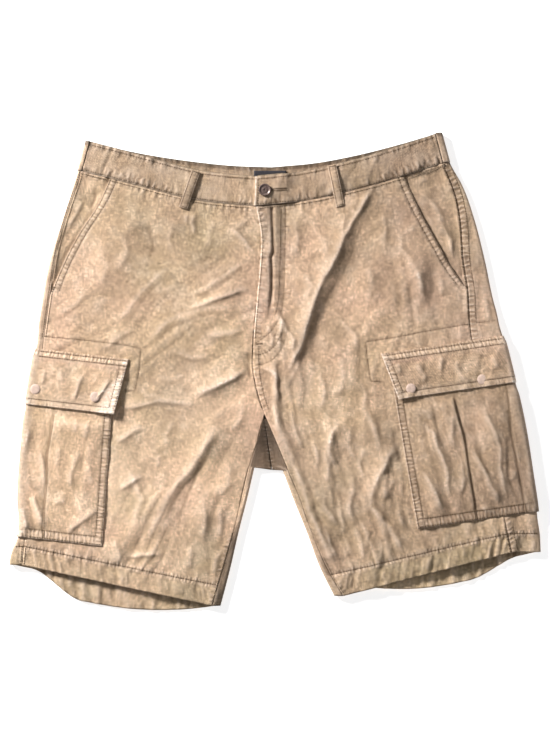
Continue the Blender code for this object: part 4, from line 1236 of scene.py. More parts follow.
def facing(half):
    """The facing behind a hip pocket's slanted edge, down to where that edge meets the side seam."""
    level = LEVEL[half]
    foot_y = level["slash"].outer_y + 2
    down, s = np.linspace(0, 1, 70)[:, None], np.linspace(0, 1, 28)[None, :]
    seam_y = level["waist"].seam_y + (foot_y - level["waist"].seam_y) * down
    slash_y = level["waist"].outer_y + (foot_y - level["waist"].outer_y) * down
    inner, outer = along(SLASH[half], slash_y) - 11, along(SIDE_SEAM[half], seam_y) - GAP / 2
    u = inner + (outer - inner) * s
    y = slash_y + (seam_y - slash_y) * s
    top = height_of(WAIST_SEAM[half], u)
    y = y + ease(1 - down * 12) * (top - GAP / 2 - y)
    x, past = side_of(half) * u, u - along(SLASH[half], y)
    shown = ease((past - 1) / 6)
    relief = body_relief(half, x, y) * shown - 0.5 * (1 - shown)
    below = CLOTH + GAP - 1.2 * ease((u - outer + 12) / 10) - 1.1 * bell(top - y, 5) * shown
    tint, seam = body_tint(half, x, y), body_ladders(half, x, y)
    # painted shadow of the slanted edge on the facing beside it
    slash_shadow = 0.5 * bell(np.maximum(past, 0), 7) * (0.8 + 0.4 * noise(x, y, 22, 4))
    tint[..., 0] *= 0.5
    tint[..., 1] = np.clip(tint[..., 1] + slash_shadow, 0, 1)
    seam[..., 0] *= ease((past - 3) / 3)
    grid = (cloth_point(half, u, y, relief - below), stacked(u, y), tint, seam)
    return mesh_object(f"hip_pocket_facing_{half}", [grid], SHELL)


# ------------------------------------------------------------------ waistband
FOOT_ROW, TOP_ROW = 0.06, 0.9  # how far up the waistband its rows of stitches lie
FLY_END = -27.0  # u of the left waistband's end
UNDER_END = 25.0 - BAND_UNDERLAP  # and of the right one's, below it
HOLE_UP = 0.48  # how far up the buttonhole lies
WAIST_EDGE_U = {half: OUTLINE[half][1][1] for half in OUTLINE}


def band_point(half, u, y_seam, up, lift=0.0, out=0.0):
    """A point of the waistband, up from 0 at its seam to 1 at its top. Its ends lean inwards."""
    u, y_seam, up, lift, out = np.broadcast_arrays(u, y_seam, up, lift, out)
    lean = BAND_LEAN / WAIST_EDGE_U[half] * up
    base = fold_start(half, y_seam)
    end = base + math.pi * FOLD
    high, low = top_height(half, np.minimum(u, base), y_seam) + BAND_LIFT, BAND_WALL / 2
    angle = np.clip((u - base) / FOLD, 0, math.pi)
    middle, tall = (high + low) / 2, (high - low) / 2
    below = base + end - u
    at_fold = base - lean * u + (FOLD + out) * np.sin(angle)
    x = np.where(u <= base, u - lean * u, np.where(u >= end, below - lean * below, at_fold))
    z = np.where(u <= base, high + out, np.where(u >= end, low - out, middle + (tall + out) * np.cos(angle)))
    return stacked(side_of(half) * x, y_seam + BAND_HEIGHT * up, z + lift)


def band_relief(u, up, layer):
    """Ripples of the waistband, strongest by its stitched edges."""
    near_edge = bell(up, 0.3) + bell(1 - up, 0.3)
    wave = rippled(u, 40 * up, 8.5, layer)
    size = 0.8 + 0.6 * noise(u, 0 * u, 24, layer + 1)
    groove = bell(up - TOP_ROW, 0.035) + bell(up - FOOT_ROW, 0.035)
    rolled = BAND_SUNK + 0.5 * bell(up, 0.035) + 0.7 * bell(1 - up, 0.04)
    clear = 0.35 + 0.65 * ease(up / 0.12)
    share = 0.55 if layer == 1 else 1.0
    leaning = share * 0.8 * facets(u / 30 - 0.7 * up, up, 0.9, layer + 2)
    return (1.3 * near_edge * wave * size + leaning) * clear - 0.45 * groove - rolled


def band_tint(x, u, up, wear_and_highlight=0.1, bright=1.0):
    """Tints of the waistband: edges worn, rows of stitches soiled, and the rolled top in shade."""
    edge = bell(up, 0.05) + bell(1 - up, 0.05)
    line = bell(up - TOP_ROW, 0.045) + bell(up - FOOT_ROW, 0.045)
    worn = wear_and_highlight + 0.4 * edge + 0.25 * noise(u, 40 * up, 14, 3)
    rope = ease((up - 0.96) / 0.04)
    level = bright * (1 + 0.06 * noise(u, 40 * up, 30, 2)) * (1 - 0.6 * rope)
    return tinted(x, 40 * up, worn * (1 - rope), 0.6 * line, 0.55 + 0.4 * rope, level)


def band_ladders(u, up):
    strength = 1.2 * bell(up - 0.16, 0.15) + 1.1 * bell(0.92 - up, 0.13)
    strength = strength * (0.8 + 0.6 * noise(u, 30 * up, 22, 6))
    return stacked(strength, (u + 10 * up) / 7.5)


def band_front_surface(half, u, up):
    """The front waistband's outer face. The left one rises onto the right one, which lies flat below it."""
    right = half == "right"
    y = height_of(WAIST_SEAM[half], u)
    if right:
        y = np.where(u < 25, height_of(WAIST_SEAM["left"], -u) + 1, y)
        lift = 0.0
    else:
        lift = (BAND_WALL + GAP) * ease((34 - u) / 22)
    seam = float(along(SIDE_SEAM[half], LEVEL[half]["waist"].seam_y))
    hidden = ease((u - 25) / 6) if right else 1.0
    calm = ease((seam + 4 - u) / 8)
    crease = 0.0
    if right:
        crease = 0.6 * bell(u - 236 + 8 * up, 4) - 0.7 * bell(u - 230 + 8 * up, 2)
    relief = (band_relief(u, up, 1 if right else 3) + crease) * hidden * calm
    return band_point(half, u, y + GAP / 2, up, lift, relief)


def band_front(half):
    """A front half of the waistband. The left one has a worn end and the buttonhole's slit painted dark, as
    shade.
    """
    seam = float(along(SIDE_SEAM[half], LEVEL[half]["waist"].seam_y)) - 0.03
    first = UNDER_END if half == "right" else FLY_END
    u = np.linspace(first, seam, int((seam - first) / 1.7))[None, :]
    up = np.linspace(0, 1, 24)[:, None]
    points = band_front_surface(half, u, up)
    bright = 0.74 if half == "right" else 0.63
    bright = bright * (1 + 0.22 * ease((150 - u) / 50))
    tint = band_tint(points[..., 0], u, up, 0.1, bright)
    if half == "left":
        tint[..., 0] = np.clip(tint[..., 0] + bell(u - FLY_END, 2.2), 0, 1)
        # painted shade for the buttonhole's slit
        buttonhole_shade = bell(up - HOLE_UP, 0.035) * ease((u + 6) / 2) * ease((17 - u) / 2)
        tint[..., 1] = np.clip(tint[..., 1] + buttonhole_shade, 0, 1)
    uv = stacked(u, 300 + BAND_HEIGHT * up)
    return mesh_object(f"waistband_front_{half}", [(points, uv, tint, band_ladders(u, up))], BAND_WALL)


def back_waist(half, columns):
    """u and y of the back waistband's seam on one half, from the side seam to the middle."""
    y = LEVEL[half]["waist"].seam_y
    seam = float(along(SIDE_SEAM[half], y)) + 0.03
    start = float(fold_start(half, y))
    flat = np.linspace(start, side_of(half) * CENTRE_BACK, columns)[1:]
    turn = start + FOLD * np.linspace(0, math.pi, 9)
    flat_y = height_of(BACK_WAIST_SEAM[half], flat)
    u = np.concatenate([np.linspace(seam, start, 3)[:-1], turn, turned(half, flat, flat_y)])
    return u, np.concatenate([np.full(len(turn) + 2, y), flat_y])


def band_back():
    """The waistband's back half, from side seam to side seam, with its top rolled and painted darker, as
    shade.
    """
    ends = []
    up = np.linspace(0, 1, 20)[:, None]
    for half in ("right", "left"):
        u, y = back_waist(half, 110)
        points = band_point(half, u[None, :], y[None, :] + GAP / 2, up)
        x = points[..., 0]
        inside = ease((u - float(fold_start(half, y[0])) - math.pi * FOLD) / 8)[None, :]
        points[..., 2] += inside * 0.5 * (1 + rippled(x, 20 * up, 9, 2)) * up**2
        ends.append(points)
    right, left = ends[0], ends[1][:, ::-1]
    right[:, -1] = left[:, 0] = (right[:, -1] + left[:, 0]) / 2
    points = np.concatenate([right, left[:, 1:]], axis=1)
    x = points[..., 0]
    tint = band_tint(x, x, up, 0.0, 0.7)
    # painted shade along the rolled top
    top = ease((up - 0.87) / 0.06) * (0.8 + 0.5 * noise(x, 0 * x, 5, 4))
    tint[..., 1] = np.clip(tint[..., 1] + 0.5 * top, 0, 1)
    tint[..., 3] *= 1 - 0.45 * top
    uv = stacked(x, 400 + BAND_HEIGHT * up + 0 * x)
    return mesh_object("waistband_back_half", [(points, uv, tint, band_ladders(x, up))], BAND_WALL)


# ------------------------------------------------------------------ cargo pockets and flaps
def patch_grid(half, patch, face, downs, rest):
    """across and down of a patch's grid, with columns round the side fold."""
    rows = []
    for down in downs:
        u0, y0 = patch_point(patch, 0.0, down)
        u_fold = float(fold_start(half, y0))
        for _ in range(3):
            u_fold = float(fold_start(half, y0 + patch.slope * (u_fold - u0)))
        turn = u_fold - u0 + FOLD * np.linspace(0, math.pi, 9)
        flat = np.linspace(0, turn[0], face)[:-1]
        rows.append(np.concatenate([flat, turn, np.linspace(turn[-1], patch.width, rest)[1:]]))
    across = np.array(rows)
    down = np.broadcast_to(downs[:, None], across.shape)
    return across, down


POCKET_ROWS = ((2.0, 9.5), (2.0, 12.0))  # rows of stitches in from the front edge, and up from the foot
FLAP_ROWS = ((1.8, 8.5), (8.0,))


def edge_stitch(across, down, run, insets, foot_insets):
    """Grooves of the stitches along a patch's front edge and foot, and the puckers beside them."""
    foot = (1 - down) * run
    total = -0.4 * sum(bell(across - i, 1.1) for i in insets)
    total = total - 0.4 * sum(bell(foot - i, 1.1) for i in foot_insets)
    return total + pucker(across, foot, 7.5, 0.4, 11, 3) + pucker(foot, across, 7.5, 0.35, 9 + 0 * foot, 5)


def pleat_wander(down):
    """How far a pleat's edge strays from its straight line."""
    return 3.0 * noise(0 * down + 9, 230 * down, 50, 2)


def pleat_lines(across, down):
    """Distance from each edge of a pocket's pleat."""
    return across - PLEAT_INSET - pleat_wander(down), across - PLEAT_INSET - PLEAT_WIDTH + pleat_wander(down)


LIVELY = {"right": 0.7, "left": 1.0}  # how strongly each side's patches are creased


def patch_plan(half, patch, across, down):
    """u and y of a place on a patch, where the side fold starts there, and its x in plan."""
    u, y = patch_point(patch, across, down)
    start = fold_start(half, y)
    return u, y, start, side_of(half) * np.minimum(u, start)


def patch_run(patch):
    return abs(patch.front_foot_y - patch.front_top_y)


def flap_foot_share(half):
    """How far down a pocket its flap reaches."""
    bag, flap = POCKET[half], FLAP[half]
    return (flap.front_foot_y - bag.front_top_y) / (bag.front_foot_y - bag.front_top_y)


def pocket_out(half, across, down):
    """u, y and height above the body of a cargo pocket: its puff, pleat, creases and stitch lines."""
    bag = POCKET[half]
    u, y, start, x = patch_plan(half, bag, across, down)
    below = ease((down - flap_foot_share(half) - 0.02) / 0.07)
    run = math.hypot(bag.front_foot_y - bag.front_top_y, bag.front_foot_u - bag.front_top_u)
    foot = (1 - down) * run
    side = ease((start - u) / 50)
    slack = PATCH_PUFF * ease((u - start + 14) / 14) + BAG_PUFF * ease(np.minimum(across, foot) / 34) * side
    first, second = pleat_lines(across, down)
    gaping = 1 + 0.9 * bell(down - 0.4, 0.12) * (half == "left")
    pleat = PLEAT_DEPTH * gaping * ease((first + 2) / 4) * ease((2 - second) / 4)
    pleat = pleat * side * ease((1 - down) / 0.08)
    shown = ease((start + 4 - u) / 8) * below
    relief = 1.6 * LIVELY[half] * creases(POCKET_CREASES[half], x, y) + 0.8
    relief = relief + LIVELY[half] * (1.3 * draped(x, y) + 0.8 * crumple(x + 300, y))
    relief = relief * (0.15 + 0.85 * ease(across / 14)) * ease(foot / 14)
    relief = relief + edge_stitch(across, down, run, *POCKET_ROWS)
    relief = relief - 0.9 * bell(first, 1.6) - 1.1 * bell(second, 1.6)
    out = CLOTH + GAP + below * np.maximum(slack - pleat, 0)
    return u, y, np.maximum(out + relief * shown, CLOTH + GAP - 0.25)


def pocket_surface(half, across, down):
    u, y, out = pocket_out(half, across, down)
    return cloth_point(half, u, y, out)


def cargo_pocket(half):
    """A pleated cargo pocket, worn at its edges, with painted shade along its pleat and grime along its
    stitches.
    """
    bag, right = POCKET[half], half == "right"
    across, down = patch_grid(half, bag, 66 if right else 92, np.linspace(0, 1, 128), 12)
    run = patch_run(bag)
    foot = (1 - down) * run
    u, y, _, x = patch_plan(half, bag, across, down)
    wear_and_highlight, grime_and_shade = patch_shade_and_soil(POCKET_CREASES[half], x, y, across, foot, POCKET_ROWS)
    rough = 0.7 + 0.5 * noise(across, foot, 8, 5)
    rubbed = 1.0 if right else 0.25
    wear_and_highlight += 0.4 * rubbed * rough * (bell(across - 6, 5) + bell(foot - 6, 5))
    wear_and_highlight += 0.5 * bell(across, 1.4) + 0.4 * rubbed * bell(foot, 1.4)
    grime_and_shade += (1 - rubbed) * rough * np.maximum(0.3 * ease((14 - foot) / 2), 0.26 * ease((11 - across) / 2))
    first, second = pleat_lines(across, down)
    # painted shade along the pleat's two edges
    grime_and_shade += (0.65 * bell(first, 1.5) + 0.8 * bell(second, 1.5)) * ease((foot - 12) / 3)
    # the right pocket is painted paler, partly its own fading and partly painted light, and the left one
    # darker
    tone, bright = (0.5, 1.27) if right else (0.45, 0.93)
    bright = bright * (1 + 0.06 * noise(x, y, 40, 2) + 0.04 * noise(x, y, 18, 3))
    # painted shade on the outer fold
    bright = bright * outer_shade(half, u, y) ** 1.5
    if not right:
        # painted shade on the left pocket, darker towards its outer side and its lower outer part
        bright = bright * (1 - 0.2 * ease((u - 268) / 50))
        bright = bright * (1 - 0.1 * ease((-110 - y) / 60) * ease((u - 250) / 30))
    tint = tinted(across, foot, wear_and_highlight, grime_and_shade, tone, bright)
    grid = (pocket_surface(half, across, down), stacked(across, down * run + 500), tint,
            patch_ladders(across, foot, 10, 12.5))
    return mesh_object(f"cargo_pocket_bag_{half}", [grid], SHELL)


def patch_shade_and_soil(table, x, y, across, foot, rows):
    """Painted highlight on a patch's crease crests, painted shade at their feet, and grime along its rows of
    stitches.
    """
    _, pale, dark = crease_fields(table, x, y)
    lines = sum(bell(across - i, 1.4) for i in rows[0]) + sum(bell(foot - i, 1.4) for i in rows[1])
    return 0.4 * pale, 0.72 * dark + 0.6 * lines


def patch_ladders(across, foot, width, foot_width, foot_share=1.0):
    """Puckers between the rows of stitches along a patch's front edge and foot."""
    upright = ease((width + 1 - across) / 2)
    level = foot_share * ease((foot_width + 1 - foot) / 2)
    strength = np.maximum(upright, level)
    phase = np.where(upright >= level, foot, across) / 5.2
    return stacked(strength, phase)


def flap_out(half, across, down):
    """u, y and height above the body of a flap: its lift, curled corner, creases and stitch lines."""
    flap = FLAP[half]
    u, y, start, x = patch_plan(half, flap, across, down)
    run = patch_run(flap)
    corner = ease(1 - across / 40) * ease((down - 0.2) / 0.8)
    fade = ease((start + 4 - u) / 8)
    shown = fade * ease((down - 0.1) / 0.2)
    relief = 1.7 * LIVELY[half] * creases(FLAP_CREASES[half], x, y) + 0.6
    relief = relief + LIVELY[half] * (1.0 * draped(x, y) + 0.8 * crumple(x, y + 400))
    stitched = edge_stitch(across, down, run, *FLAP_ROWS)
    rows = -0.5 * bell(down * run - 3, 1.1) - 0.4 * bell(down * run - 9.5, 1.1)
    ripple = pucker(down * run - 6, across, 7, 0.4, 6, 2)
    out = CLOTH + GAP + (CLOTH + GAP) * ease(down / 0.16) + 2.6 * corner
    curl = 1.4 * corner * (half == "right")
    out = out + curl + relief * shown + (stitched + rows + ripple) * fade
    return u, y, np.maximum(out, CLOTH + GAP - 0.2)


def flap_surface(half, across, down):
    u, y, out = flap_out(half, across, down)
    return cloth_point(half, u, y, out)


def pocket_flap(half):
    """A cargo pocket's flap, rubbed at its front edge and foot."""
    flap, right = FLAP[half], half == "right"
    across, down = patch_grid(half, flap, 80 if right else 104, np.linspace(0, 1, 46), 12)
    run = patch_run(flap)
    foot, head = (1 - down) * run, down * run
    u, y, _, x = patch_plan(half, flap, across, down)
    wear_and_highlight, grime_and_shade = patch_shade_and_soil(FLAP_CREASES[half], x, y, across, foot, FLAP_ROWS)
    rough = 0.7 + 0.5 * noise(across, foot, 8, 5)
    wear_and_highlight += rough * (bell(across, 2.4) + 0.6 * bell(foot, 1.8))
    wear_and_highlight += 0.35 * rough * (bell(across - 5, 5) + bell(foot - 5, 5))
    wear_and_highlight += 0.3 * rough * bell(head - 6, 5)
    if right:
        # partly wear and partly a painted highlight on the right flap's lifted corner
        wear_and_highlight += 0.75 * ease((30 - across) / 14) * ease((down - 0.16 - across / 60) / 0.12)
    else:
        wear_and_highlight += 0.5 * rough * bell(across, 5)
    grime_and_shade += 0.6 * bell(head - 9.5, 1.5) + 0.5 * bell(head - 3, 1.2)
    under_top = ease((head - 8) / 3) * ease((19 - head) / 6) * (0.7 + 0.5 * noise(across, foot, 20, 2))
    grime_and_shade += 0.24 * under_top
    # the right flap is painted paler, partly its own fading and partly painted light; painted shade on the
    # outer fold
    bright = (1.16 if right else 1.0) * (1 + 0.05 * noise(x, y, 30, 2) + 0.04 * noise(x, y, 15, 3))
    tint = tinted(across, foot, wear_and_highlight, grime_and_shade, 0.5 - 0.35 * under_top, bright * outer_shade(half, u, y) ** 1.5)
    seam = patch_ladders(across, foot, 8.5, 8.0, 0.45)
    at_top = 1.0 * (head < 9.5)
    seam[..., 1] = np.where(at_top > seam[..., 0], across / 5.0, seam[..., 1])
    seam[..., 0] = np.maximum(seam[..., 0], at_top)
    grid = (flap_surface(half, across, down), stacked(across, head + 800), tint, seam)
    return mesh_object(f"cargo_flap_{half}", [grid], SHELL)


# ------------------------------------------------------------------ belt loops and label
def loop_frame(loop, s, down, lift=0.0):
    """A point of a belt loop: s from -0.5 to 0.5 across it, down from 0 at its top to 1 at its foot."""
    run = math.hypot(loop.foot_x - loop.top_x, loop.foot_y - loop.top_y)
    ax, ay = (loop.foot_x - loop.top_x) / run, (loop.foot_y - loop.top_y) / run
    over_band, over_front = BAND_LIFT + BAND_WALL / 2 - BAND_SUNK, CLOTH / 2
    x, y = loop.top_x + ax * run * down, loop.top_y + ay * run * down
    u = side_of(loop.half) * x
    seam = height_of(WAIST_SEAM[loop.half], u)
    rest = over_front + (over_band - over_front) * ease((y - seam + 7) / 6)
    z = top_height(loop.half, u, np.minimum(y, seam)) + rest + GAP + LOOP_WALL / 2
    z = z + 1.5 * np.sin(math.pi * np.minimum(down / 0.8, 1.0)) ** 2
    crown = 0.5 - 2.4 * s**2
    edge = -0.35 * bell(np.abs(s) - 0.34, 0.06)
    tuck = 0.5 * ease(1 - down * 14) + 0.5 * ease(1 - (1 - down) * 14)
    wobble = 0.3 * noise(60 * down, 3 * s + loop.top_x, 9, 3)
    z = z + (crown + edge) * (1 - 0.5 * tuck) + wobble + 0.6 + lift
    return stacked(x - ay * LOOP_WIDTH * s, y + ax * LOOP_WIDTH * s, z)


def belt_loop(loop):
    """A belt loop, tucked in at both ends."""
    down, s = np.linspace(0, 1, 46)[:, None], np.linspace(-0.5, 0.5, 15)[None, :]
    points = loop_frame(loop, s, down)
    edge = bell(np.abs(s) - 0.5, 0.07)
    wear_and_highlight = 0.1 + 0.6 * edge + 0.3 * noise(60 * down, 12 * s, 7, 4)
    grime_and_shade = 0.8 * bell(np.abs(s) - 0.36, 0.08)
    bright = 0.64 if loop.half == "right" else 0.88
    tint = tinted(12 * s, 52 * down, wear_and_highlight, grime_and_shade, 0.5, bright)
    uv = stacked(LOOP_WIDTH * s, 52 * down + 900)
    seam = stacked(0.5 + 0 * s, 52 * down / 5.5)
    return mesh_object(f"loop_of_{loop.half}_side", [(points, uv, tint, seam)], LOOP_WALL * 0.8)


def waist_label():
    """A plain bare tape inside the back of the waistband."""
    top = BACK_WAIST_SEAM["right"][0][0] + BAND_HEIGHT - 4.5
    s, t = np.linspace(0, 1, 24)[None, :], np.linspace(0, 1, 12)[:, None]
    x, y = LABEL_LEFT + LABEL_WIDTH * s, top - LABEL_DEPTH * t
    points = stacked(x, y, BAND_WALL + GAP + 0.8 + 0.25 * noise(x, y, 14, 2))
    tint = tinted(points[..., 0], points[..., 1])
    return mesh_object("woven_label", [(points, points[..., :2], tint, 0 * points[..., :2])], 0.6)


# ------------------------------------------------------------------ stitches
STITCH_RINGS = ((0.0, 0.35, -0.5), (0.25, 1.0, 0.25), (0.75, 1.0, 0.25), (1.0, 0.35, -0.5))
RING = 5


def stitch_points(starts, ends, ups, radius):
    """Points of a row of stitches: four rings each, given by their place along it, size and lift."""
    way = ends - starts
    along_it = way / np.maximum(np.linalg.norm(way, axis=1, keepdims=True), 1e-6)
    across = np.cross(along_it, ups)
    across /= np.maximum(np.linalg.norm(across, axis=1, keepdims=True), 1e-6)
    rise = np.cross(across, along_it)
    angles = 2 * math.pi * np.arange(RING)[:, None] / RING
    spokes = across[:, None] * np.cos(angles) + rise[:, None] * np.sin(angles)
    rings = [(starts + way * share + rise * radius * lift)[:, None] + radius * size * spokes
             for share, size, lift in STITCH_RINGS]
    return np.stack(rings, axis=1).reshape(-1, 3)


def stitch_mesh(name, runs):
    """All the stitches of one thread as one piece."""
    verts = np.concatenate([stitch_points(*run) for run in runs])
    form = [(i, j, j + RING, i + RING) for ring in range(0, 3 * RING, RING)
            for i, j in zip(range(ring, ring + RING), [*range(ring + 1, ring + RING), ring])]
    form += [tuple(range(RING))[::-1], tuple(range(3 * RING, 4 * RING))]
    faces = [tuple(base + i for i in face) for base in range(0, len(verts), 4 * RING) for face in form]
    return plain_object(name, verts, faces)


def stitches_on(surface, a, b, pitch=3.3, length=2.5, radius=0.47, proud=SHELL / 2 + 0.12, start=0.0):
    """Stitches (starts, ends, normals, radius) along a line given in a surface's own two coordinates."""
    a, b = np.asarray(a, float), np.asarray(b, float)
    fine = np.linspace(0, 1, max(12, len(a) * 6))
    at = np.linspace(0, 1, len(a))
    a, b = np.interp(fine, at, a), np.interp(fine, at, b)
    run = np.concatenate([[0], np.cumsum(np.linalg.norm(np.diff(surface(a, b), axis=0), axis=1))])
    heads = np.arange(0.4 + start, run[-1] - length, pitch)
    tails = heads + length
    a0, b0 = np.interp(heads, run, a), np.interp(heads, run, b)
    a1, b1 = np.interp(tails, run, a), np.interp(tails, run, b)
    ups = surface_normal(surface, (a0 + a1) / 2, (b0 + b1) / 2)
    return surface(a0, b0) + ups * proud, surface(a1, b1) + ups * proud, ups, radius


def surface_normal(surface, a, b):
    """Unit normals of a surface at places in its own coordinates, pointing up."""
    da = 0.04 if np.max(np.abs(a)) <= 1.0001 else 0.5
    db = 0.01 if np.max(np.abs(b)) <= 1.0001 else 0.5
    va = surface(a + da, b) - surface(a - da, b)
    vb = surface(a, b + db) - surface(a, b - db)
    normal = np.cross(va, vb)
    normal /= np.maximum(np.linalg.norm(normal, axis=1, keepdims=True), 1e-9)
    return np.where(normal[:, 2:3] < 0, -normal, normal)


def body_adder(half, runs):
    """A function that adds the stitches along a line in plan on a body's upper layer to runs."""
    s = side_of(half)

    def add(line, **options):
        x, y = np.asarray(line, float).T
        runs.append(stitches_on(lambda x, y: front_surface(half, s * x, y), x, y, **options))

    return add


def body_stitches(half):
    """Rows of stitches along the seams, pockets' edges, hem and waist of one half's body."""
    lines, s, left, runs = LINES[half], side_of(half), half == "left", []
    add = body_adder(half, runs)
    add(lines["slash"] - np.array([s * 0.5, 0]))
    add(lines["slash_inner"], start=0.8)
    side = lines["side"]
    above, below = (62, -196) if left else (44, -226)
    for part in (side[side[:, 1] > above], side[side[:, 1] < below]):
        add(part - np.array([s * 2.2, 0]))
        add(part + np.array([s * (8.0 if left else 2.6), 0]), start=0.7)
    add(lines["hem"], radius=0.6, length=2.9)
    stay = np.asarray(STAY[half], float)
    for first, last in zip(stay[:-1], stay[1:]):
        add(np.linspace(first, last, 5), radius=0.38)
    x = np.linspace(-22, 226, 60) if left else np.linspace(-258, -30, 60)
    add(stacked(x, height_of(WAIST_SEAM[half], s * x) - 3.2), start=0.5)
    if left:
        fly_stitches(add)
    crotch_y = np.linspace(36, -50, 30)
    aside, start = (7.2, 0.6) if left else (-1.6, 0.0)
    add(stacked(along(CENTRE_FRONT, crotch_y) + aside, crotch_y), start=start)
    inseam_y = np.linspace(-244 if left else -212, LEVEL[half]["hem"].inner_y + 4, 60)
    add(stacked(s * (along(INSEAM[half], inseam_y) + 2.0), inseam_y), radius=0.36)
    return runs


def fly_stitches(add):
    """The fly's two rows, the crotch curve's two, the fly edge's one, and the bar tack at the fly's foot."""
    add(smooth_line(FLY_STITCH), radius=0.38)
    add(smooth_line([(x - 6.5, y) for x, y in FLY_STITCH[:5]]), start=0.9, radius=0.38)
    add(smooth_line(CROTCH_CURVE), radius=0.4)
    add(smooth_line(CROTCH_CURVE_LOW), radius=0.4)
    edge_y = np.linspace(214, 44, 40)
    add(stacked(along(CENTRE_FRONT, edge_y) + 2.2, edge_y), radius=0.34)
    add([(x, 39 + 0.08 * x) for x in np.linspace(-26, -16, 6)], pitch=1.0, length=0.95, radius=0.55)


def band_stitches():
    runs = []

    def add(half, u, up, **options):
        def surface(u, up):
            return band_front_surface(half, u, up)

        u, up = np.broadcast_arrays(u, up)
        runs.append(stitches_on(surface, u, up, proud=BAND_WALL / 2 + 0.1, **options))

    for half, first in (("right", 29.0), ("left", -24.0)):
        seam = float(along(SIDE_SEAM[half], LEVEL[half]["waist"].seam_y)) - 2
        u = np.linspace(first, seam, 60)
        add(half, u, 0.055)
        add(half, u, TOP_ROW, start=0.6)
    add("left", FLY_END + 3.5, np.linspace(FOOT_ROW, TOP_ROW, 12))
    for aside in (-0.035, 0.035):  # the buttonhole's two sides
        add("left", np.linspace(-6, 16, 12), HOLE_UP + aside, pitch=0.9, length=0.8, radius=0.5)
    return runs


def patch_stitches(half):
    """Rows of stitches on a cargo pocket, with the bar tacks of its pleat, and on its flap."""
    runs = []

    def add(surface, across, down, **options):
        across, down = np.broadcast_arrays(across, down)
        runs.append(stitches_on(lambda a, b: surface(half, a, b), across, down, **options))

    run, first = patch_run(POCKET[half]), flap_foot_share(half)
    far = {"right": 100.0, "left": 146.0}[half]
    for inset, foot_inset in zip(*POCKET_ROWS):
        add(pocket_surface, inset, np.linspace(max(first, 0.2), 1 - foot_inset / run, 40), start=inset / 10)
        add(pocket_surface, np.linspace(inset, far, 40), 1 - foot_inset / run, start=inset / 10)
    down = np.linspace(first + 0.04, 0.94, 30)
    add(pocket_surface, PLEAT_INSET - 1.5 + pleat_wander(down), down, radius=0.36)
    tacks = [PLEAT_INSET - 1.0, PLEAT_INSET + 1.0] + [PLEAT_INSET + PLEAT_WIDTH] * (half == "left")
    down = np.linspace(1 - 13.0 / run, 1 - 1.0 / run, 8)
    for across in tacks:
        add(pocket_surface, across, down, pitch=1.1, length=1.0, radius=0.5)
    run = patch_run(FLAP[half])
    far = {"right": 118.0, "left": 158.0}[half]
    for inset in FLAP_ROWS[0]:
        add(flap_surface, inset, np.linspace(0.22, 1 - 8.0 / run, 16), start=inset / 10)
    add(flap_surface, np.linspace(1.8, far, 40), 1 - 8.0 / run)
    for inset in (3.0, 9.5):
        add(flap_surface, np.linspace(2, far, 40), inset / run, start=inset / 12)
    return runs


def loop_stitches():
    """Two rows along each belt loop, and a bar tack at each of its ends."""
    runs = []
    for loop in LOOPS:
        def surface(s, down, loop=loop):
            return loop_frame(loop, s, down)

        def add(s, down, surface=surface, **options):
            s, down = np.broadcast_arrays(s, down)
            runs.append(stitches_on(surface, s, down, proud=LOOP_WALL * 0.4 + 0.1, **options))

        for s in (-0.34, 0.34):
            add(s, np.linspace(0.04, 0.96, 20), radius=0.36)
        for down in (0.03, 0.96):
            add(np.linspace(-0.42, 0.42, 8), down, pitch=1.0, length=0.95, radius=0.4)
    return runs


# ------------------------------------------------------------------ hardware
BUTTON_PLACE = (-13.5, 240.0)
BUTTON_SEAM_Y = 219.0
BUTTON_PROFILE = [(0, 1.6), (0.16, 1.6), (0.2, 2.3), (0.42, 2.4), (0.52, 1.9), (0.66, 1.9), (0.78, 2.9),
                  (0.9, 3.2), (0.98, 2.7), (1, 1.7), (0.8, 0.4), (0.5, 0), (0, 0)]
STUD_PROFILE = [(0, 0.9), (0.4, 0.88), (0.7, 0.8), (0.9, 0.6), (1, 0.2), (0.95, 0), (0, 0)]


def turned_piece(name, profile, radius, steps, place):
    """A piece turned about an upright axis. Its profile is (share of the radius, height), axis to axis."""
    r, z = (np.array(profile) * (radius, 1)).T[:, 1:-1, None]
    angles = np.linspace(0, 2 * math.pi, steps, endpoint=False)
    rings = stacked(r * np.cos(angles), r * np.sin(angles), z).reshape(-1, 3)
    top, foot = len(rings), len(rings) + 1
    faces = []
    for i in range(0, top - steps, steps):
        for k in range(steps):
            n = (k + 1) % steps
            faces.append((i + k, i + steps + k, i + steps + n, i + n))
    last = top - steps
    for k in range(steps):
        n = (k + 1) % steps
        faces += [(top, k, n), (foot, last + n, last + k)]
    ends = [(0, 0, profile[0][1]), (0, 0, profile[-1][1])]
    made = plain_object(name, np.concatenate([rings, ends]) + place, faces)
    made.data.set_sharp_from_angle(angle=math.radians(50))
    return made


def waist_button():
    x, y = BUTTON_PLACE
    z = float(band_point("left", x, BUTTON_SEAM_Y, 0.5)[2]) + 1.5 * BAND_WALL + GAP - 0.5
    return turned_piece("waist_button", BUTTON_PROFILE, BUTTON_RADIUS, 48, (x, y, z))


def stud(place):
    """A press stud's cap, on its flap."""
    flap = FLAP[place.half]
    fall = place.y - flap.front_top_y - flap.slope * (place.u - flap.front_top_u)
    down = fall / (flap.front_foot_y - flap.front_top_y)
    across = place.u - patch_point(flap, 0.0, down)[0]
    point = flap_surface(place.half, np.array([across]), np.array([down]))[0]
    point[2] += SHELL / 2 - 0.1
    return turned_piece(place.name.replace("snap", "stud"), STUD_PROFILE, SNAP_RADIUS * 1.22, 32, point)


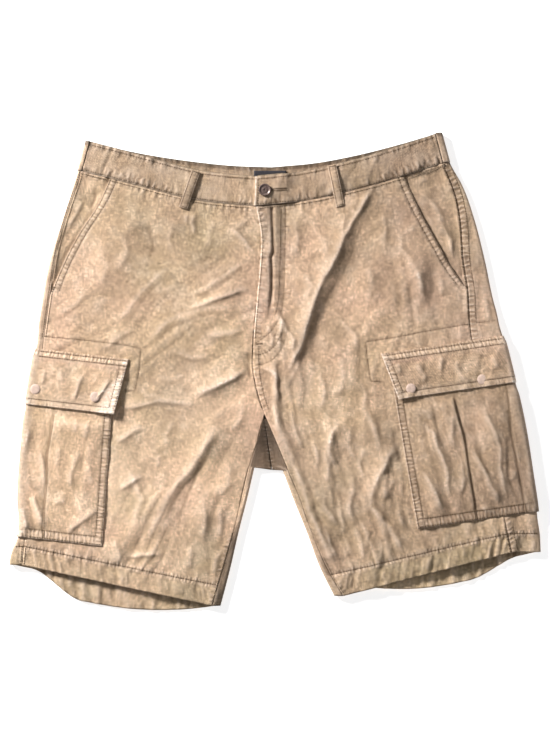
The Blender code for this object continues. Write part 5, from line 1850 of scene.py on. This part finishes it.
# ------------------------------------------------------------------ materials
KHAKI = (0.55, 0.385, 0.272, 1)
PALE = (0.74, 0.58, 0.455, 1)
CHALK = (0.83, 0.74, 0.65, 1)
SOIL_AND_SHADE = (0.13, 0.078, 0.042, 1)
OLIVE = (0.44, 0.315, 0.21, 1)
THREAD = (0.10, 0.062, 0.028, 1)
HORN = (0.15, 0.105, 0.092, 1)
STUD_CAP = (0.62, 0.465, 0.385, 1)
TAPE = (0.02, 0.018, 0.024, 1)


def node(tree, kind, **values):
    made = tree.nodes.new(kind)
    for key, value in values.items():
        if key in made.inputs:
            made.inputs[key].default_value = value
        else:
            setattr(made, key, value)
    return made


def mix_colour(tree, factor, a, b, blend="MIX"):
    made = tree.nodes.new("ShaderNodeMix")
    made.data_type, made.blend_type = "RGBA", blend
    for socket, value in ((made.inputs[0], factor), (made.inputs[6], a), (made.inputs[7], b)):
        if isinstance(value, (int, float, tuple)):
            socket.default_value = value
        else:
            tree.links.new(value, socket)
    return made.outputs[2]


def ramp(tree, value, low, high, to_low=0.0, to_high=1.0):
    made = tree.nodes.new("ShaderNodeMapRange")
    made.interpolation_type = "SMOOTHSTEP"
    tree.links.new(value, made.inputs[0])
    for socket, number in zip(made.inputs[1:5], (low, high, to_low, to_high)):
        socket.default_value = number
    return made.outputs[0]


def maths(tree, operation, a, b=0.0):
    made = tree.nodes.new("ShaderNodeMath")
    made.operation = operation
    for socket, value in zip(made.inputs, (a, b)):
        if isinstance(value, (int, float)):
            socket.default_value = value
        else:
            tree.links.new(value, socket)
    return made.outputs[0]


def noise_at(tree, vector, scale, detail=2.0, rough=0.5):
    made = tree.nodes.new("ShaderNodeTexNoise")
    made.inputs["Scale"].default_value = scale
    made.inputs["Detail"].default_value = detail
    made.inputs["Roughness"].default_value = rough
    tree.links.new(vector, made.inputs["Vector"])
    return made.outputs["Fac"]


def scaled(tree, vector, sizes):
    made = tree.nodes.new("ShaderNodeVectorMath")
    made.operation = "MULTIPLY"
    tree.links.new(vector, made.inputs[0])
    made.inputs[1].default_value = sizes
    return made.outputs[0]


def float_threads(tree, uv):
    """A value from 0 to 1 for each short length of thread that floats on the twill's face."""
    made = tree.nodes.new("ShaderNodeTexVoronoi")
    made.voronoi_dimensions = "2D"
    made.inputs["Scale"].default_value = 900
    tree.links.new(scaled(tree, uv, (1.0, 0.6, 1.0)), made.inputs["Vector"])
    split = tree.nodes.new("ShaderNodeSeparateColor")
    tree.links.new(made.outputs["Color"], split.inputs[0])
    return split.outputs[0]


def times(tree, a, b):
    return maths(tree, "MULTIPLY", a, b)


def plus(tree, a, b):
    return maths(tree, "ADD", a, b)


def dimmed(tree, colour, value):
    """colour times value."""
    grey = tree.nodes.new("ShaderNodeCombineColor")
    for k in range(3):
        tree.links.new(value, grey.inputs[k])
    return mix_colour(tree, 1.0, colour, grey.outputs[0], "MULTIPLY")


def new_finish(name, **values):
    """A material, its node tree and its shader, whose inputs take the values."""
    made = bpy.data.materials.new(name)
    made.use_nodes = True
    shader = made.node_tree.nodes["Principled BSDF"]
    for key, value in values.items():
        shader.inputs[key.replace("_", " ")].default_value = value
    return made, made.node_tree, shader


def bumped(tree, shader, height, strength, distance):
    bump = node(tree, "ShaderNodeBump", Strength=strength, Distance=distance)
    tree.links.new(height, bump.inputs["Height"])
    tree.links.new(bump.outputs[0], shader.inputs["Normal"])


def weave(tree, uv):
    """The twill's diagonal thread, and the shade that thread, slub and floats give."""
    warp_way = noise_at(tree, scaled(tree, uv, (1.0, 0.14, 1.0)), 820, 1, 0.6)
    weft_way = noise_at(tree, scaled(tree, uv, (0.14, 1.0, 1.0)), 820, 1, 0.6)
    slub = times(tree, plus(tree, warp_way, weft_way), 0.5)
    wave = node(tree, "ShaderNodeTexWave", Scale=260, Distortion=1.5, Detail=2, bands_direction="DIAGONAL")
    tree.links.new(uv, wave.inputs["Vector"])
    fibre = noise_at(tree, uv, 620, 2, 0.6)
    thread = plus(tree, times(tree, wave.outputs["Fac"], 0.5), times(tree, fibre, 0.6))
    shade = times(tree, ramp(tree, thread, 0.3, 0.8, 0.66, 1.2), ramp(tree, slub, 0.37, 0.63, 0.75, 1.25))
    return thread, times(tree, shade, ramp(tree, float_threads(tree, uv), 0.0, 1.0, 0.78, 1.22))


def pucker_rungs(tree, uv):
    """The ladders of puckers that the seam attribute places: their height, from valley to crest."""
    rungs = tree.nodes.new("ShaderNodeSeparateXYZ")
    seam = node(tree, "ShaderNodeAttribute", attribute_name="seam")
    tree.links.new(seam.outputs["Vector"], rungs.inputs[0])
    wander = times(tree, noise_at(tree, uv, 90, 2, 0.5), 1.3)
    turns = times(tree, plus(tree, rungs.outputs[1], wander), 2 * math.pi)
    size = ramp(tree, noise_at(tree, uv, 140, 1, 0.5), 0.3, 0.7, 0.3, 1.3)
    return times(tree, times(tree, maths(tree, "SINE", turns), size), rungs.outputs[0])


def washed(tree, spot, tone):
    """The cloth's own colour, with clouds and patches of fading."""
    colour = mix_colour(tree, ramp(tree, noise_at(tree, spot, 14, 4, 0.6), 0.35, 0.68), KHAKI, OLIVE)
    patches = ramp(tree, noise_at(tree, spot, 34, 3, 0.6), 0.45, 0.72)
    colour = mix_colour(tree, times(tree, patches, 0.4), colour, PALE)
    warm = mix_colour(tree, tone, (1.04, 0.965, 0.985, 1), (0.965, 1.015, 0.905, 1))
    return mix_colour(tree, 1.0, colour, warm, "MULTIPLY")


def twill(name):
    """Washed cotton twill: mottled colour and diagonal weave, worn and soiled and with painted highlight and
    painted shade where its tint attribute says, and painted shade and highlight on its puckers.
    """
    made, tree, shader = new_finish(
        name, Roughness=0.86, Sheen_Weight=0.12, Sheen_Roughness=0.5, Specular_IOR_Level=0.25)
    uv = node(tree, "ShaderNodeUVMap", uv_map="cut").outputs[0]
    spot = node(tree, "ShaderNodeNewGeometry").outputs["Position"]
    tint = node(tree, "ShaderNodeAttribute", attribute_name="tint")
    split = tree.nodes.new("ShaderNodeSeparateColor")
    tree.links.new(tint.outputs["Color"], split.inputs[0])
    wear_and_highlight, grime_and_shade, tone = split.outputs[0], split.outputs[1], split.outputs[2]
    thread, shade = weave(tree, uv)
    ladder = pucker_rungs(tree, uv)
    colour = dimmed(tree, washed(tree, spot, tone), shade)
    # darker towards the soil colour where the tint says: real grime along stitches, and painted shade in
    # hollows, at crease feet and in recesses
    colour = mix_colour(tree, times(tree, grime_and_shade, 0.75), colour, SOIL_AND_SHADE)
    # paler where the tint says: real wear at edges, and painted highlight on ridges and crease crests
    rough_wear_and_highlight = times(tree, wear_and_highlight, ramp(tree, noise_at(tree, uv, 300, 2, 0.6), 0.3, 0.7, 0.55, 1.15))
    colour = mix_colour(tree, rough_wear_and_highlight, colour, PALE)
    colour = mix_colour(tree, ramp(tree, rough_wear_and_highlight, 0.62, 1.0, 0.0, 0.75), colour, CHALK)
    # painted shade in the puckers' valleys and painted highlight on their crests
    colour = mix_colour(tree, times(tree, ramp(tree, ladder, -0.15, -1.1), 0.42), colour, SOIL_AND_SHADE)
    colour = mix_colour(tree, times(tree, ramp(tree, ladder, 0.2, 1.1), 0.4), colour, PALE)
    # the tint's brightness holds painted shade and painted light besides the cloth's own tone
    tree.links.new(dimmed(tree, colour, tint.outputs["Alpha"]), shader.inputs["Base Color"])
    height = plus(tree, times(tree, thread, 0.4), times(tree, noise_at(tree, spot, 130, 4, 0.62), 0.8))
    bumped(tree, shader, plus(tree, height, times(tree, ladder, 0.55)), 0.55, 0.0006)
    return made


def plain(name, colour, roughness, metallic=0.0, grain=0.12, scale=900, bump_mm=0.05):
    """A hard or plain finish with a little grain in its colour and surface."""
    made, tree, shader = new_finish(name, Roughness=roughness, Metallic=metallic)
    spot = node(tree, "ShaderNodeNewGeometry").outputs["Position"]
    grainy = noise_at(tree, spot, scale, 3, 0.6)
    dark = tuple(c * (1 - grain * 2) for c in colour[:3]) + (1.0,)
    light = tuple(min(1.0, c * (1 + grain * 2)) for c in colour[:3]) + (1.0,)
    tree.links.new(mix_colour(tree, ramp(tree, grainy, 0.3, 0.7), dark, light), shader.inputs["Base Color"])
    bumped(tree, shader, grainy, 0.5, bump_mm * MM)
    return made


# ------------------------------------------------------------------ the shorts
def dress(made, cad_node, finish):
    """Give a piece its finish, hang it on the root body, and hide the CAD part that it replaces."""
    made.data.materials.append(finish)
    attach(made, "root")
    if cad_node:
        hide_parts(cad_node)
    return made


def build_half(half, cloth, inside, thread):
    """One half's panels, pockets and stitches. Flat sizes are in metres, without seam allowance."""
    panel = dress(front(half), f"front_{half}", cloth)
    rear = dress(back(half), f"back_{half}", cloth)
    face = dress(facing(half), f"pocket_facing_{half}", inside)
    band = dress(band_front(half), f"waistband_{half}", cloth)
    bag = dress(cargo_pocket(half), f"cargo_pocket_{half}", cloth)
    lid = dress(pocket_flap(half), f"flap_{half}", cloth)
    dress(stitch_mesh(f"stitches_{half}", body_stitches(half) + patch_stitches(half)), None, thread)


def build():
    cloth, inside = twill("washed_twill"), twill("facing_twill")
    thread = plain("brown_thread", THREAD, 0.7, 0, 0.25, 1500)
    horn = plain("dark_horn", HORN, 0.34, 0.3, 0.2, 500, 0.1)
    cap = plain("stud_cap", STUD_CAP, 0.6, 0.0, 0.1, 700, 0.1)
    woven = plain("dark_label", TAPE, 0.75, 0, 0.25, 1400)
    for half in ("right", "left"):
        build_half(half, cloth, inside, thread)
    rear_band = dress(band_back(), "waistband_back", cloth)
    dress(stitch_mesh("stitches_waistband", band_stitches() + loop_stitches()), None, thread)
    for loop in LOOPS:
        strip = dress(belt_loop(loop), loop.name, cloth)
    label = dress(waist_label(), "waist_label", woven)
    dress(waist_button(), "button", horn)
    for place in SNAPS:
        dress(stud(place), place.name, cap)


# ------------------------------------------------------------------ the stage
LAMPS = (  # name, place, size, power and colour
    ("key", (-2.5, 1.9, 1.4), 0.6, 285, (1.0, 0.975, 0.95)),
    ("fill", (1.0, -0.8, 2.4), 2.0, 5, (0.97, 0.98, 1.0)),
)
PIXEL = 1.32 * MM
PHOTO_ROWS = 733
ORIGIN_ROW = 372  # the photo's row at y = 0
LENS, SENSOR = 85, 36


def aim(made):
    """Turn a lamp to the origin."""
    x, y, z = made.location
    made.rotation_euler = (math.atan2(math.hypot(x, y), z), 0, math.atan2(x, -y))


def stage():
    """A plain pale floor, a key light up and to the left, a soft fill, and the camera straight above."""
    corners = [(-4000, -4000, -0.6), (4000, -4000, -0.6), (4000, 4000, -0.6), (-4000, 4000, -0.6)]
    floor = plain_object("floor", corners, [(0, 1, 2, 3)])
    paper, _, _ = new_finish("pale_paper", Base_Color=(0.98, 0.98, 0.98, 1), Roughness=0.9,
                             Emission_Color=(1, 1, 1, 1), Emission_Strength=0.65)
    floor.data.materials.append(paper)
    for name, place, size, power, tint in LAMPS:
        lamp = bpy.data.lights.new(name, "AREA")
        lamp.size, lamp.energy, lamp.color = size, power, tint
        made = linked(name, lamp)
        made.location = place
        aim(made)
    world = bpy.data.worlds.new("studio")
    world.use_nodes = True
    background = world.node_tree.nodes["Background"]
    background.inputs[0].default_value = (1, 1, 1, 1)
    background.inputs[1].default_value = 0.2
    bpy.context.scene.world = world
    camera = bpy.data.cameras.new("camera")
    camera.lens, camera.sensor_width = LENS, SENSOR
    made = linked("camera", camera)
    made.location = (0, (ORIGIN_ROW - PHOTO_ROWS / 2) * PIXEL, PHOTO_ROWS * PIXEL * LENS / SENSOR + 0.01)
    bpy.context.scene.camera = made
    bpy.context.scene.view_settings.view_transform = "Standard"


build()
stage()
